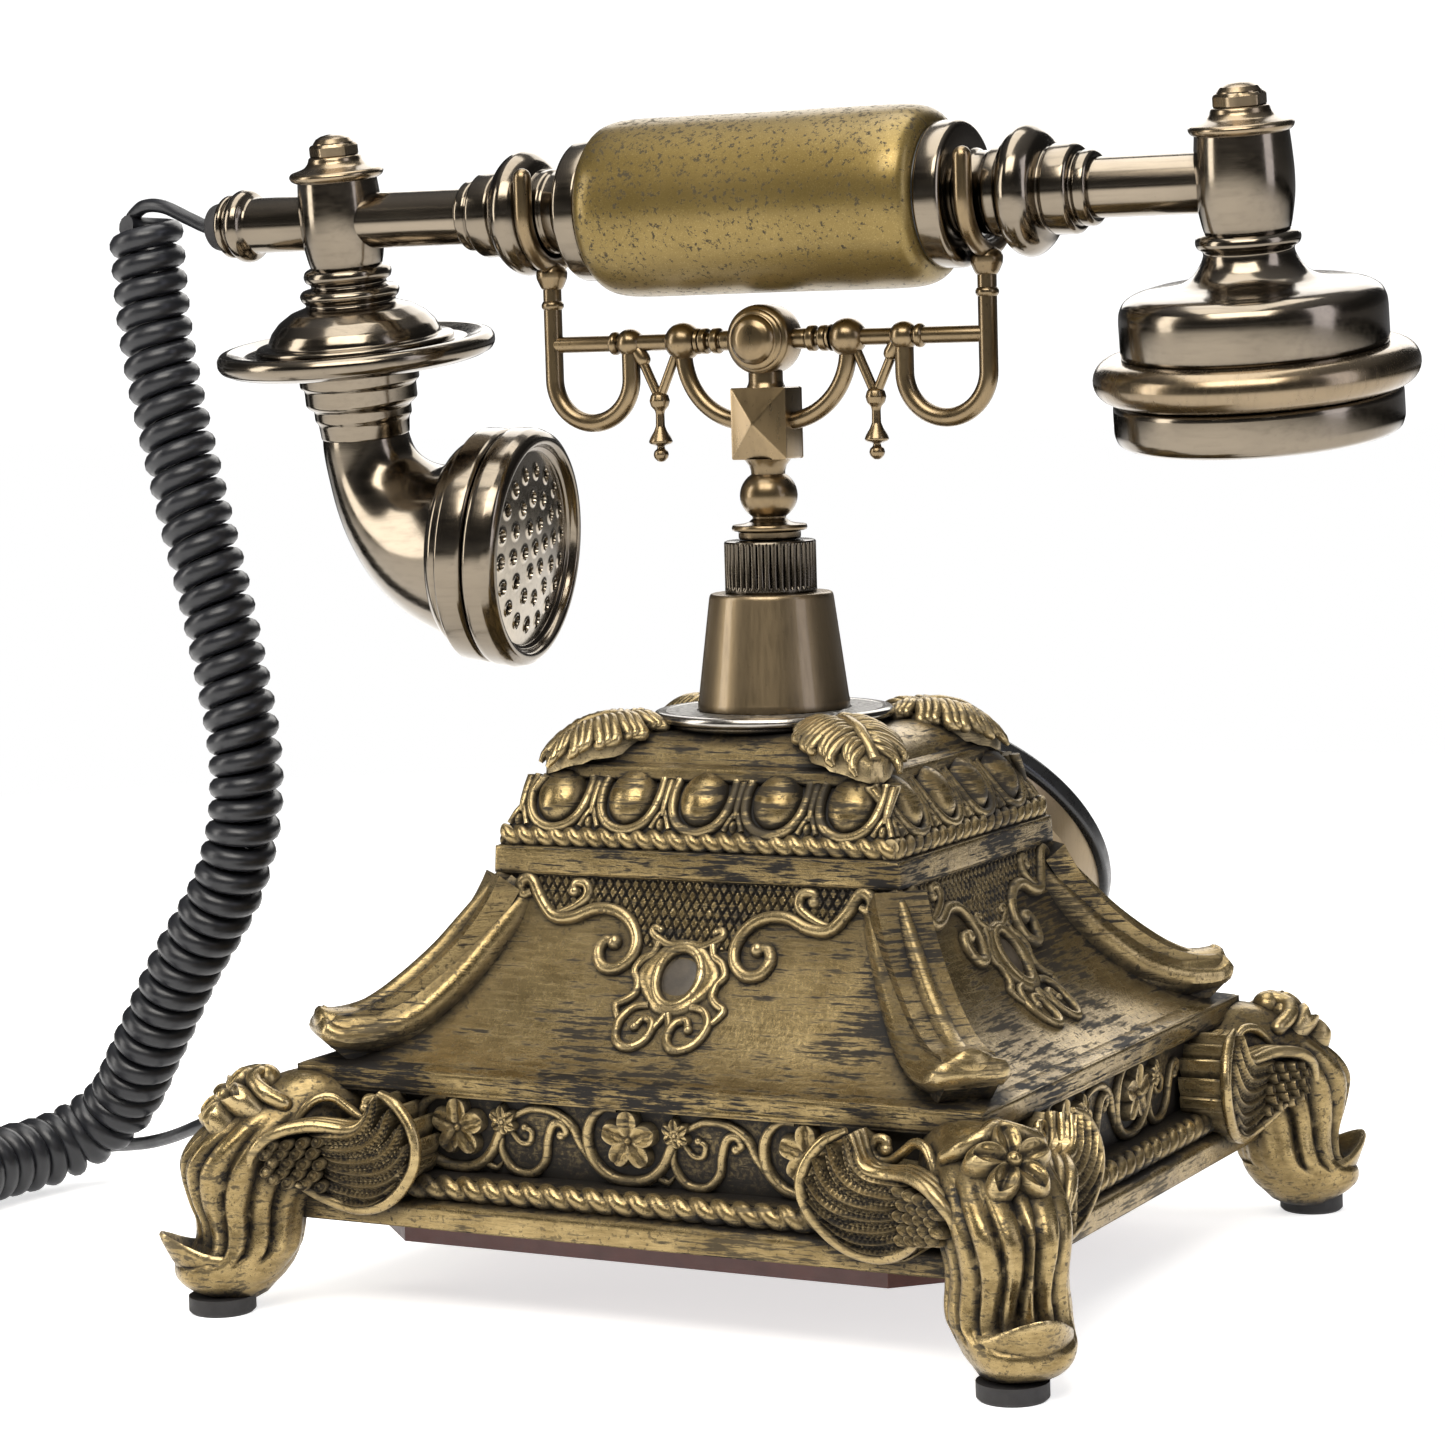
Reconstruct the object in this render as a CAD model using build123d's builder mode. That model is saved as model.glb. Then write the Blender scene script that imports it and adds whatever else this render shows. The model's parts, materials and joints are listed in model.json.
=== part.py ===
from build123d import *
from math import cos, pi, radians, sin, tan
import os

os.makedirs("parts", exist_ok=True)

# Antique-style dial telephone.  Millimetres, +Z up.  The origin is the centre of the
# footprint on the table.  The dial faces -Y, the mouthpiece is at +X, the earpiece at -X.

# ---------------------------------------------------------------- driving dimensions
DEPTH_LESS = 7.0          # each level of the base is this much shallower (half) than wide
PLINTH_HALF = 75.5        # half width of the plinth at its lower edge
PLINTH_Z = 17.3           # underside of the casting
FRIEZE_Z = 26.7           # foot of the frieze
SLAB_Z = 41.2             # underside of the slab over the frieze
SLAB_TOP_Z = 45.4
BAND_Z = 79.2             # underside of the flat band over the panels
RIM_Z = 97.0
CASTING_TOP_Z = 105.0     # seat of the post
WALL_FLOOR_HALF = 61.0    # half width of the hollow inside
SCREW_X, SCREW_Y = 40.0, 49.0

PAD_X, PAD_Y = 80.6, 76.2
PAD_RADIUS, PAD_HEIGHT = 6.3, 3.2

STEM_RADIUS = 3.0
RUNNING_CLEARANCE = 0.05
COLLAR_TOP_Z = 140.3
CRADLE_TRAVEL = 5.0
STEM_FOOT_Z = 74.0
BLOCK_Z, BLOCK_TOP_Z = 155.8, 169.5
BAR_Z = 178.6
BAR_RADIUS = 1.6
BEND_ROD_RADIUS = 1.8
FORK_X = 46.5

HANDSET_Z = 204.5         # height of the handset axis
HANDSET_MID_X = -2.0      # middle of the grip
ROLL = 8.0                # degrees the handset leans about its own axis
MOUTH_X, EAR_X = 95.0, -97.0
GRIP_HALF, GRIP_RADIUS = 35.5, 17.0
NECK_RADIUS = 8.3
TUBE_RADIUS = 5.6
ROD_RADIUS = 3.2

HORN_BEND = 23.0          # bend radius of the horn's centre line
HORN_SWEEP = 84.0
HORN_TWIST = 7.0
CAP_RADIUS = 24.2
CORD_COIL_RADIUS = 7.8
CORD_COIL_BORE = 4.6
TAIL_RADIUS = 1.4

DIAL_CENTRE = (0.0, -70.0, 73.0)
DIAL_LEAN = 40.0          # degrees the dial's axis rises from level
DIAL_RADIUS = 39.0
GEAR_MODULE = 0.6
GEAR_TEETH, PINION_TEETH = 54, 18

LEVER_PIVOT_X, LEVER_PIVOT_Z = 20.0, 70.6
RINGER_Y = 36.0
JACK_Y = 18.0
JACK_Z = 36.3


def box_from(x0, x1, y0, y1, z0, z1, mode=Mode.ADD):
    """A box between two corners, in the part that is being built."""
    with Locations(((x0 + x1) / 2, (y0 + y1) / 2, (z0 + z1) / 2)):
        Box(x1 - x0, y1 - y0, z1 - z0, mode=mode)


def turned(points, plane, mode=Mode.ADD):
    """Revolves a closed outline of (radius, height) points about the plane's own y axis."""
    with BuildSketch(plane) as profile:
        with BuildLine():
            Polyline(*points, close=True)
        make_face()
    revolve(profile.sketch, axis=Axis(plane.origin, plane.y_dir), mode=mode)


# ---------------------------------------------------------------- planes of the handset
LEAN_Y, LEAN_Z = sin(radians(ROLL)), cos(radians(ROLL))


def upright(x):
    """Plane through the handset axis at x; its y direction is the leaning upright."""
    return Plane(origin=(x, 0, HANDSET_Z), x_dir=(1, 0, 0), z_dir=(0, -LEAN_Z, LEAN_Y))


along_handset = Plane(
    origin=(HANDSET_MID_X, 0, HANDSET_Z), x_dir=(0, 0, 1), z_dir=(0, 1, 0)
)                         # x is the radius (up), y runs towards +X
mouth_plane = upright(MOUTH_X)
ear_plane = upright(EAR_X)

dial_plane = Plane(
    origin=DIAL_CENTRE,
    x_dir=(1, 0, 0),
    z_dir=(0, -cos(radians(DIAL_LEAN)), sin(radians(DIAL_LEAN))),
)
# section plane of the dial: x is the radius, y is the distance in front of the dial
dial_section = Plane(origin=DIAL_CENTRE, x_dir=(1, 0, 0), z_dir=dial_plane.y_dir * -1)

# ================================================================= base
HOUSING_OUTLINE = [
    (0, -40), (15.5, -40), (15.5, -26), (18, -24.6), (26, -19), (32, -13), (36, -7),
    (37.4, -2), (0, -2),
]
with BuildPart() as housing_envelope:
    turned(HOUSING_OUTLINE, dial_section)


def half_outline(less):
    """Right half of the casting's outline, set in by `less`, from the sole to the top."""
    foot = PLINTH_HALF - less
    Polyline(
        (0, PLINTH_Z), (foot, PLINTH_Z), (foot - 0.6, 21.8), (foot - 3, 22.3),
        (foot - 3, FRIEZE_Z - 0.3), (foot - 8, FRIEZE_Z + 0.2), (foot - 7, SLAB_Z - 0.2),
        (foot - 5.1, SLAB_Z), (foot - 5.1, SLAB_TOP_Z), (foot - 8.6, SLAB_TOP_Z + 0.8),
    )
    ThreePointArc(
        (foot - 8.6, SLAB_TOP_Z + 0.8), (foot - 25.7, 59.7), (foot - 34.0, BAND_Z - 0.8)
    )
    Polyline(
        (foot - 34.0, BAND_Z - 0.8), (foot - 33, BAND_Z), (foot - 33.2, 84.2),
        (foot - 34.6, 84.4), (foot - 35.0, 87.6),
    )
    ThreePointArc((foot - 35.0, 87.6), (foot - 38.2, 92.8), (foot - 41.4, 96.4))
    Polyline(
        (foot - 41.4, 96.4), (foot - 40.6, RIM_Z), (foot - 40.9, 99.2),
        (foot - 42.6, 99.8),
    )
    ThreePointArc(
        (foot - 42.6, 99.8), (foot - 46.0, 103.4), (foot - 52.0, CASTING_TOP_Z)
    )
    Polyline((foot - 52.0, CASTING_TOP_Z), (0, CASTING_TOP_Z), (0, PLINTH_Z))


with BuildPart() as casting_envelope:
    with BuildSketch(Plane.XZ):
        with BuildLine():
            half_outline(0)
        make_face()
        mirror(about=Plane.YZ)
    extrude(amount=PLINTH_HALF, both=True)
    with BuildSketch(Plane.YZ):
        with BuildLine():
            half_outline(DEPTH_LESS)
        make_face()
        mirror(about=Plane.YZ)
    extrude(amount=PLINTH_HALF, both=True, mode=Mode.INTERSECT)

CORNER = Plane(origin=(0, -DEPTH_LESS, 0), x_dir=(1, 1, 0), z_dir=(1, -1, 0))
DIAGONAL = 2 ** 0.5

with BuildPart() as corner_rib:
    with BuildSketch(CORNER):
        with BuildLine():
            Spline(
                *[(a * DIAGONAL, z) for a, z in (
                    (42.8, 79.0), (45.2, 73.0), (50.0, 65.4), (57.0, 58.0), (62.0, 55.2),
                    (65.4, 54.8),
                )]
            )
            Polyline(
                *[(a * DIAGONAL, z) for a, z in (
                    (65.4, 54.8), (67.0, 53.0), (66.6, 49.0), (64.4, SLAB_TOP_Z + 0.9),
                    (54.0, SLAB_TOP_Z + 0.9), (40.0, 76.0), (42.8, 79.0),
                )]
            )
        make_face()
    extrude(amount=5.0, both=True)

with BuildPart() as base_casting:
    add(casting_envelope.part)
    add(corner_rib.part)
    add(mirror(corner_rib.part, about=Plane.YZ, mode=Mode.PRIVATE))
    add(mirror(corner_rib.part, about=Plane.XZ, mode=Mode.PRIVATE))
    add(
        mirror(
            mirror(corner_rib.part, about=Plane.XZ, mode=Mode.PRIVATE),
            about=Plane.YZ,
            mode=Mode.PRIVATE,
        )
    )
    # hollow: straight floor part, then a roof that follows the panels
    HOLLOW = [(WALL_FLOOR_HALF, 41), (46, 56), (37.5, 75), (30, 85), (28, 95)]
    with BuildSketch(Plane.XY.offset(PLINTH_Z)):
        Rectangle(2 * WALL_FLOOR_HALF, 2 * (WALL_FLOOR_HALF - DEPTH_LESS))
        chamfer(vertices(), length=14.0)
    extrude(amount=HOLLOW[0][1] - PLINTH_Z, mode=Mode.SUBTRACT)
    for (a0, z0), (a1, z1) in zip(HOLLOW, HOLLOW[1:]):
        for a, z in ((a0, z0), (a1, z1)):
            with BuildSketch(Plane.XY.offset(z)):
                Rectangle(2 * a, 2 * (a - DEPTH_LESS))
                chamfer(vertices(), length=14.0 * a / WALL_FLOOR_HALF)
        loft(mode=Mode.SUBTRACT)
    # bosses for the bottom plate's screws
    for x in (-SCREW_X, SCREW_X):
        for y in (-SCREW_Y, SCREW_Y):
            with BuildSketch(Plane.XY.offset(PLINTH_Z)):
                with Locations((x, y)):
                    Circle(4.0)
            extrude(amount=25.0)
            with BuildSketch(Plane.XY.offset(PLINTH_Z)):
                with Locations((x, y)):
                    Circle(1.5)
            extrude(amount=14.0, mode=Mode.SUBTRACT)
    # post hole through the crown
    with BuildSketch(Plane.XY.offset(90)):
        Circle(8.1)
    extrude(amount=20, mode=Mode.SUBTRACT)
    # seat of the dial housing in the front panel
    turned([(0, -52), (15.6, -52), (15.6, -20), (0, -20)], dial_section, mode=Mode.SUBTRACT)
    add(housing_envelope.part, mode=Mode.SUBTRACT)
    # openings for the two sockets in the +X side
    for y in (-JACK_Y, JACK_Y):
        box_from(55, 80, y - 6.4, y + 6.4, JACK_Z - 4.6, JACK_Z + 4.6, mode=Mode.SUBTRACT)
    # stepped holes for the foot bolts, from inside each corner
    for sx in (-1, 1):
        for sy in (-1, 1):
            start = (sx * (WALL_FLOOR_HALF - 8), sy * (WALL_FLOOR_HALF - DEPTH_LESS - 8), 32)
            along = Plane(origin=start, z_dir=(sx, sy, 0))
            with BuildSketch(along):
                Circle(3.8)
            extrude(amount=13.0, mode=Mode.SUBTRACT)
            with BuildSketch(along):
                Circle(2.15)
            extrude(amount=30.0, mode=Mode.SUBTRACT)
base_casting.part.label = "base_casting"
export_step(base_casting.part, "parts/base_casting.step")


# ---- feet: cast legs with side wings, four of them
def foot_at(sx, sy):
    """One leg, standing at the corner (sx, sy), with a wing along each side."""
    sections = [
        (3.2, 80.6, 76.2, 15.5, 15.5), (7.5, 82.0, 77.6, 21.0, 19.5),
        (13.0, 79.4, 75.0, 15.5, 17.5), (21.0, 77.2, 72.8, 20.0, 20.0),
        (30.0, 75.0, 70.0, 28.0, 24.0), (38.0, 71.0, 65.4, 24.0, 24.0),
        (43.6, 67.0, 61.0, 13.0, 14.0),
    ]
    outlines = []
    for z, x, y, length, width in sections:
        plane = Plane(origin=(sx * x, sy * y, z), x_dir=(sx, sy, 0), z_dir=(0, 0, 1))
        with BuildSketch(plane) as outline:
            RectangleRounded(length, width, 5.0)
        outlines.append(outline.sketch.face())
    loft(outlines)
    wing = [(72, 40.5), (58, 41.0), (47, 38.5), (41, 34), (46, 27), (56, 20), (72, 22)]
    with BuildSketch(Plane.XZ.offset(-sy * (PLINTH_HALF - DEPTH_LESS + 2.6))) as wide_wing:
        with BuildLine():
            Polyline(*[(sx * x, z) for x, z in wing], close=True)
        make_face()
    extrude(wide_wing.sketch, amount=sy * 10.0)
    with BuildSketch(Plane.YZ.offset(sx * (PLINTH_HALF + 2.6))) as deep_wing:
        with BuildLine():
            Polyline(*[(sy * (x - DEPTH_LESS), z) for x, z in wing], close=True)
        make_face()
    extrude(deep_wing.sketch, amount=-sx * 10.0)


def bolt_plane(sx, sy, depth):
    """Plane across a foot bolt, `depth` from where its stepped hole starts."""
    reach = depth / DIAGONAL
    x = WALL_FLOOR_HALF - 8 + reach
    y = WALL_FLOOR_HALF - DEPTH_LESS - 8 + reach
    return Plane(origin=(sx * x, sy * y, 32), z_dir=(sx, sy, 0))


feet = []
for sx in (-1, 1):
    for sy in (-1, 1):
        with BuildPart() as foot:
            foot_at(sx, sy)
            add(casting_envelope.part, mode=Mode.SUBTRACT)
            with BuildSketch(bolt_plane(sx, sy, 13)):
                Circle(2.05)
            extrude(amount=20.0, mode=Mode.SUBTRACT)
        feet.append(max(foot.part.solids(), key=lambda solid: solid.volume))
with BuildPart() as corner_feet:
    add(feet)
corner_feet.part.label = "corner_feet"
export_step(corner_feet.part, "parts/corner_feet.step")

with BuildPart() as foot_bolts:
    for sx in (-1, 1):
        for sy in (-1, 1):
            with BuildSketch(bolt_plane(sx, sy, 10.0)):
                RegularPolygon(3.5, 6)
            extrude(amount=3.0)
            with BuildSketch(bolt_plane(sx, sy, 13.0)):
                Circle(2.0)
            extrude(amount=18.0)
foot_bolts.part.label = "foot_bolts"
export_step(foot_bolts.part, "parts/foot_bolts.step")

with BuildPart() as foot_pads:
    with BuildSketch():
        with GridLocations(2 * PAD_X, 2 * PAD_Y, 2, 2):
            Circle(PAD_RADIUS)
    extrude(amount=PAD_HEIGHT)
    chamfer(foot_pads.edges().group_by(Axis.Z)[0], length=0.5)
foot_pads.part.label = "foot_pads"
export_step(foot_pads.part, "parts/foot_pads.step")

# ---- bottom plate, its screws and what stands on it
PLATE_HALF_X, PLATE_HALF_Y, PLATE_THICK = 62.0, 60.0, 5.0
PLATE_TOP = PLINTH_Z
BOARD_Z = 24.0

with BuildPart() as bottom_plate:
    with BuildSketch(Plane.XY.offset(PLATE_TOP - PLATE_THICK)):
        Rectangle(2 * PLATE_HALF_X, 2 * PLATE_HALF_Y)
        chamfer(vertices(), length=12.0)
        with GridLocations(2 * SCREW_X, 2 * SCREW_Y, 2, 2):
            Circle(1.7, mode=Mode.SUBTRACT)
        with Locations((-36, 0)):
            SlotOverall(14.0, 3.4, mode=Mode.SUBTRACT)
    extrude(amount=PLATE_THICK)
    # pressed standoffs for the circuit board and the ringer
    with BuildSketch(Plane.XY.offset(PLATE_TOP)):
        with Locations((0, -38)):
            with GridLocations(50, 18, 2, 2):
                Circle(2.2)
    extrude(amount=BOARD_Z - PLATE_TOP)
bottom_plate.part.label = "bottom_plate"
export_step(bottom_plate.part, "parts/bottom_plate.step")

with BuildPart() as bottom_screws:
    with BuildSketch(Plane.XY.offset(PLATE_TOP - PLATE_THICK - 1.8)):
        with GridLocations(2 * SCREW_X, 2 * SCREW_Y, 2, 2):
            Circle(3.2)
            Rectangle(0.8, 4.4, mode=Mode.SUBTRACT)
    extrude(amount=0.9)
    with BuildSketch(Plane.XY.offset(PLATE_TOP - PLATE_THICK - 0.9)):
        with GridLocations(2 * SCREW_X, 2 * SCREW_Y, 2, 2):
            Circle(3.2)
    extrude(amount=0.9)
    with BuildSketch(Plane.XY.offset(PLATE_TOP - PLATE_THICK)):
        with GridLocations(2 * SCREW_X, 2 * SCREW_Y, 2, 2):
            Circle(1.45)
    extrude(amount=14.0)
bottom_screws.part.label = "bottom_screws"
export_step(bottom_screws.part, "parts/bottom_screws.step")

BALLAST_THICK = 4.0
with BuildPart() as ballast_plate:
    with BuildSketch(Plane.XY.offset(PLATE_TOP)):
        Rectangle(96, 44)
        with Locations((-36, 0)):
            Rectangle(18, 10, mode=Mode.SUBTRACT)
    extrude(amount=BALLAST_THICK)
    chamfer(ballast_plate.edges().group_by(Axis.Z)[-1], length=0.6)
ballast_plate.part.label = "ballast_plate"
export_step(ballast_plate.part, "parts/ballast_plate.step")
BALLAST_TOP = PLATE_TOP + BALLAST_THICK

# ringer volume slide: knob under the plate, neck in the slot, wiper above it
with BuildPart() as ringer_switch_knob:
    box_from(-38.4, -33.6, -1.55, 1.55, PLATE_TOP - PLATE_THICK - 0.1, PLATE_TOP + 0.1)
    knob_top = PLATE_TOP - PLATE_THICK - 0.1
    box_from(-39.4, -32.6, -3.0, 3.0, knob_top - 1.6, knob_top)
    box_from(-39.4, -32.6, -3.2, 3.2, PLATE_TOP + 0.1, PLATE_TOP + 2.2)
    with Locations((-36, 0, PLATE_TOP - PLATE_THICK - 1.7)):
        with GridLocations(2.0, 0, 3, 1):
            Box(0.6, 6.0, 0.8, mode=Mode.SUBTRACT)
ringer_switch_knob.part.label = "ringer_switch_knob"
export_step(ringer_switch_knob.part, "parts/ringer_switch_knob.step")

BOARD_THICK = 1.6
with BuildPart() as circuit_board:
    with BuildSketch(Plane.XY.offset(BOARD_Z)):
        with Locations((0, -38)):
            Rectangle(60, 26)
    extrude(amount=BOARD_THICK)
    # components: transformer, capacitors and an integrated circuit
    top = BOARD_Z + BOARD_THICK
    box_from(-26, -12, -46, -34, top, top + 9)
    box_from(6, 20, -38, -32, top, top + 3)
    with BuildSketch(Plane.XY.offset(top)):
        with Locations((-4, -44), (-4, -35), (24, -45)):
            Circle(2.6)
    extrude(amount=7.0)
circuit_board.part.label = "circuit_board"
export_step(circuit_board.part, "parts/circuit_board.step")

# ---- hook switch: bracket, lever on its pin, snap switch
EAR_GAP = 5.2
with BuildPart() as hook_bracket:
    box_from(16, 40, -10, 10, BALLAST_TOP, BALLAST_TOP + 2)
    box_from(33, 35, -10, 10, BALLAST_TOP, LEVER_PIVOT_Z - 6)
    for y in (-EAR_GAP - 1.6, EAR_GAP):
        box_from(LEVER_PIVOT_X - 4, 35, y, y + 1.6, LEVER_PIVOT_Z - 12, LEVER_PIVOT_Z + 3)
    with BuildSketch(Plane.XZ.offset(-12)):
        with Locations((LEVER_PIVOT_X, LEVER_PIVOT_Z)):
            Circle(1.5)
    extrude(amount=24, mode=Mode.SUBTRACT)
hook_bracket.part.label = "hook_bracket"
export_step(hook_bracket.part, "parts/hook_bracket.step")

with BuildPart() as hook_pin:
    with BuildSketch(Plane.XZ.offset(-8.4)):
        with Locations((LEVER_PIVOT_X, LEVER_PIVOT_Z)):
            Circle(1.45)
    extrude(amount=16.8)
hook_pin.part.label = "hook_pin"
export_step(hook_pin.part, "parts/hook_pin.step")

with BuildPart() as hook_lever:
    with BuildSketch(Plane.XZ.offset(-4.2)):
        with BuildLine():
            Polyline(
                (-3.4, STEM_FOOT_Z - 2.6), (-3.4, STEM_FOOT_Z - 0.8),
                (-1.4, STEM_FOOT_Z - 0.1), (2.8, STEM_FOOT_Z - 0.1),
                (16.6, LEVER_PIVOT_Z + 2.2), (LEVER_PIVOT_X + 3, LEVER_PIVOT_Z + 2.4),
                (28.5, LEVER_PIVOT_Z + 1.0), (28.5, LEVER_PIVOT_Z - 1.0),
                (LEVER_PIVOT_X + 3, LEVER_PIVOT_Z - 2.4), (16.6, LEVER_PIVOT_Z - 2.2),
                close=True,
            )
        make_face()
        with Locations((LEVER_PIVOT_X, LEVER_PIVOT_Z)):
            Circle(1.5, mode=Mode.SUBTRACT)
    extrude(amount=8.4)
hook_lever.part.label = "hook_lever"
export_step(hook_lever.part, "parts/hook_lever.step")

with BuildPart() as hook_switch:
    box_from(22.6, 32.9, -3.6, 3.6, LEVER_PIVOT_Z - 11.6, LEVER_PIVOT_Z - 5.4)
    with BuildSketch(Plane.XY.offset(LEVER_PIVOT_Z - 5.4)):
        with Locations((27.4, 0)):
            Circle(1.0)
    extrude(amount=1.6)
    for x in (24, 27.6, 31.2):
        box_from(x, x + 0.6, -1.2, 1.2, LEVER_PIVOT_Z - 15, LEVER_PIVOT_Z - 11.6)
hook_switch.part.label = "hook_switch"
export_step(hook_switch.part, "parts/hook_switch.step")

# ---- ringer: frame with posts, two gongs, a coil and the clapper
GONG_X, GONG_RADIUS, GONG_Z = 24.0, 15.5, 39.5
CLAPPER_PIVOT_Y = 19.5
with BuildPart() as ringer_frame:
    with BuildSketch(Plane.XY.offset(PLATE_TOP)):
        with Locations((0, RINGER_Y)):
            Rectangle(66, 22)
    extrude(amount=1.6)
    with BuildSketch(Plane.XY.offset(PLATE_TOP)):
        with Locations((-GONG_X, RINGER_Y), (GONG_X, RINGER_Y)):
            Circle(2.6)
    extrude(amount=GONG_Z - PLATE_TOP - 3.2)
    with BuildSketch(Plane.XY.offset(PLATE_TOP)):
        with Locations((-GONG_X, RINGER_Y), (GONG_X, RINGER_Y)):
            Circle(1.6)
    extrude(amount=GONG_Z - PLATE_TOP + 1.2)
    box_from(-3.5, 3.5, 22.3, 25.5, PLATE_TOP, PLATE_TOP + 1.6)
    box_from(-3.5, 3.5, CLAPPER_PIVOT_Y + 2.8, 25.5, PLATE_TOP, 24.0)
    box_from(-3.5, 3.5, CLAPPER_PIVOT_Y - 2.5, 25.5, 22.4, 24.0)
    with BuildSketch(Plane.XY.offset(24.0)):
        with Locations((0, CLAPPER_PIVOT_Y)):
            Circle(1.2)
    extrude(amount=9.0)
ringer_frame.part.label = "ringer_frame"
export_step(ringer_frame.part, "parts/ringer_frame.step")

with BuildPart() as ringer_gongs:
    for x in (-GONG_X, GONG_X):
        gong_section = Plane(origin=(x, RINGER_Y, GONG_Z), x_dir=(1, 0, 0), z_dir=(0, -1, 0))
        turned(
            [
                (1.65, 0.2), (6, 0), (12.5, -2.6), (GONG_RADIUS, -7.4), (GONG_RADIUS, -10.4),
                (14.3, -10.4), (14.3, -7.6), (11.6, -3.9), (5.6, -1.4), (1.65, -1.2),
            ],
            gong_section,
        )
ringer_gongs.part.label = "ringer_gongs"
export_step(ringer_gongs.part, "parts/ringer_gongs.step")

COIL_Y, COIL_Z = 3.0, 31.0
with BuildPart() as ringer_coil:
    coil_plane = Plane(origin=(-13, COIL_Y, COIL_Z), z_dir=(1, 0, 0))
    with BuildSketch(coil_plane):
        Circle(5.8)
    extrude(amount=26)
    for x in (-13, 11.4):
        with BuildSketch(Plane(origin=(x, COIL_Y, COIL_Z), z_dir=(1, 0, 0))):
            Circle(7.4)
        extrude(amount=1.6)
    box_from(-16, -13, COIL_Y - 5, COIL_Y + 5, BALLAST_TOP, COIL_Z + 6)
    box_from(-16, 12.9, COIL_Y - 5, COIL_Y + 5, BALLAST_TOP, BALLAST_TOP + 1.6)
ringer_coil.part.label = "ringer_coil"
export_step(ringer_coil.part, "parts/ringer_coil.step")

CLAPPER_Z = 29.0
with BuildPart() as ringer_clapper:
    with BuildSketch(Plane.XY.offset(CLAPPER_Z - 2.0)):
        with Locations((0, CLAPPER_PIVOT_Y)):
            Circle(2.4)
        with Locations((0, CLAPPER_PIVOT_Y - 1.4)):
            Rectangle(22, 2.0)
        with Locations((0, (CLAPPER_PIVOT_Y + RINGER_Y) / 2)):
            Rectangle(1.4, RINGER_Y - CLAPPER_PIVOT_Y)
        with Locations((0, CLAPPER_PIVOT_Y)):
            Circle(1.25, mode=Mode.SUBTRACT)
    extrude(amount=4.0)
    with Locations((0, RINGER_Y, CLAPPER_Z)):
        Sphere(4.2)
ringer_clapper.part.label = "ringer_clapper"
export_step(ringer_clapper.part, "parts/ringer_clapper.step")


# ---- sockets in the +X side
SOCKET_W, SOCKET_H = 9.7, 6.6
SOCKET_FACE_X = 67.6


def socket(y):
    box_from(50, SOCKET_FACE_X, y - 6.3, y + 6.3, JACK_Z - 4.5, JACK_Z + 4.5)
    box_from(
        SOCKET_FACE_X - 12, SOCKET_FACE_X + 1, y - SOCKET_W / 2, y + SOCKET_W / 2,
        JACK_Z - SOCKET_H / 2, JACK_Z + SOCKET_H / 2, mode=Mode.SUBTRACT,
    )


with BuildPart() as line_socket:
    socket(-JACK_Y)
line_socket.part.label = "line_socket"
export_step(line_socket.part, "parts/line_socket.step")

with BuildPart() as handset_socket:
    socket(JACK_Y)
handset_socket.part.label = "handset_socket"
export_step(handset_socket.part, "parts/handset_socket.step")

with BuildPart() as cord_plug:
    box_from(57, 69.5, JACK_Y - 3.8, JACK_Y + 3.8, JACK_Z - 3.0, JACK_Z + 3.0)
    with BuildSketch(Plane.YZ.offset(69.5)):
        with Locations((JACK_Y, JACK_Z)):
            Circle(2.4)
    extrude(amount=5.0)
    with BuildSketch(Plane.YZ.offset(68)):
        with Locations((JACK_Y, JACK_Z)):
            Circle(TAIL_RADIUS + 0.05)
    extrude(amount=7.0, mode=Mode.SUBTRACT)
cord_plug.part.label = "cord_plug"
export_step(cord_plug.part, "parts/cord_plug.step")

# ================================================================= post
AXIS_SECTION = Plane.XZ
with BuildPart() as post_flange:
    turned(
        [
            (8.15, CASTING_TOP_Z), (21.6, CASTING_TOP_Z), (21.6, 106.2), (23.2, 106.4),
            (23.2, 107.6), (22.6, 108.1), (8.15, 108.1),
        ],
        AXIS_SECTION,
    )
post_flange.part.label = "post_flange"
export_step(post_flange.part, "parts/post_flange.step")

SPRING_SEAT_Z = 102.0
with BuildPart() as post_cup:
    turned(
        [
            (STEM_RADIUS + RUNNING_CLEARANCE, 86.0), (8.0, 86.0), (8.0, 108.1), (14.65, 108.1),
            (14.65, 109.0), (11.85, 130.3), (7.0, 130.3), (7.0, SPRING_SEAT_Z),
            (STEM_RADIUS + RUNNING_CLEARANCE, SPRING_SEAT_Z),
        ],
        AXIS_SECTION,
    )
post_cup.part.label = "post_cup"
export_step(post_cup.part, "parts/post_cup.step")

with BuildPart() as post_nut:
    with BuildSketch(Plane.XY.offset(89.0)):
        RegularPolygon(13.0, 6)
        Circle(8.05, mode=Mode.SUBTRACT)
    extrude(amount=5.9)
post_nut.part.label = "post_nut"
export_step(post_nut.part, "parts/post_nut.step")

BUSH_FOOT_Z = 125.0       # the collar's tail and the guide bush both start here
RIBS = 40
COLLAR_RADIUS = 8.85
with BuildPart() as ribbed_collar:
    turned(
        [
            (5.0, BUSH_FOOT_Z), (6.95, BUSH_FOOT_Z), (6.95, 130.35), (COLLAR_RADIUS, 130.35),
            (COLLAR_RADIUS, COLLAR_TOP_Z - 0.5), (COLLAR_RADIUS - 0.5, COLLAR_TOP_Z),
            (5.0, COLLAR_TOP_Z),
        ],
        AXIS_SECTION,
    )
    with BuildSketch(Plane.XY.offset(131.6)):
        with PolarLocations(COLLAR_RADIUS + 0.1, RIBS):
            Circle(0.42)
    extrude(amount=10.0, mode=Mode.SUBTRACT)
ribbed_collar.part.label = "ribbed_collar"
export_step(ribbed_collar.part, "parts/ribbed_collar.step")

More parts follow.
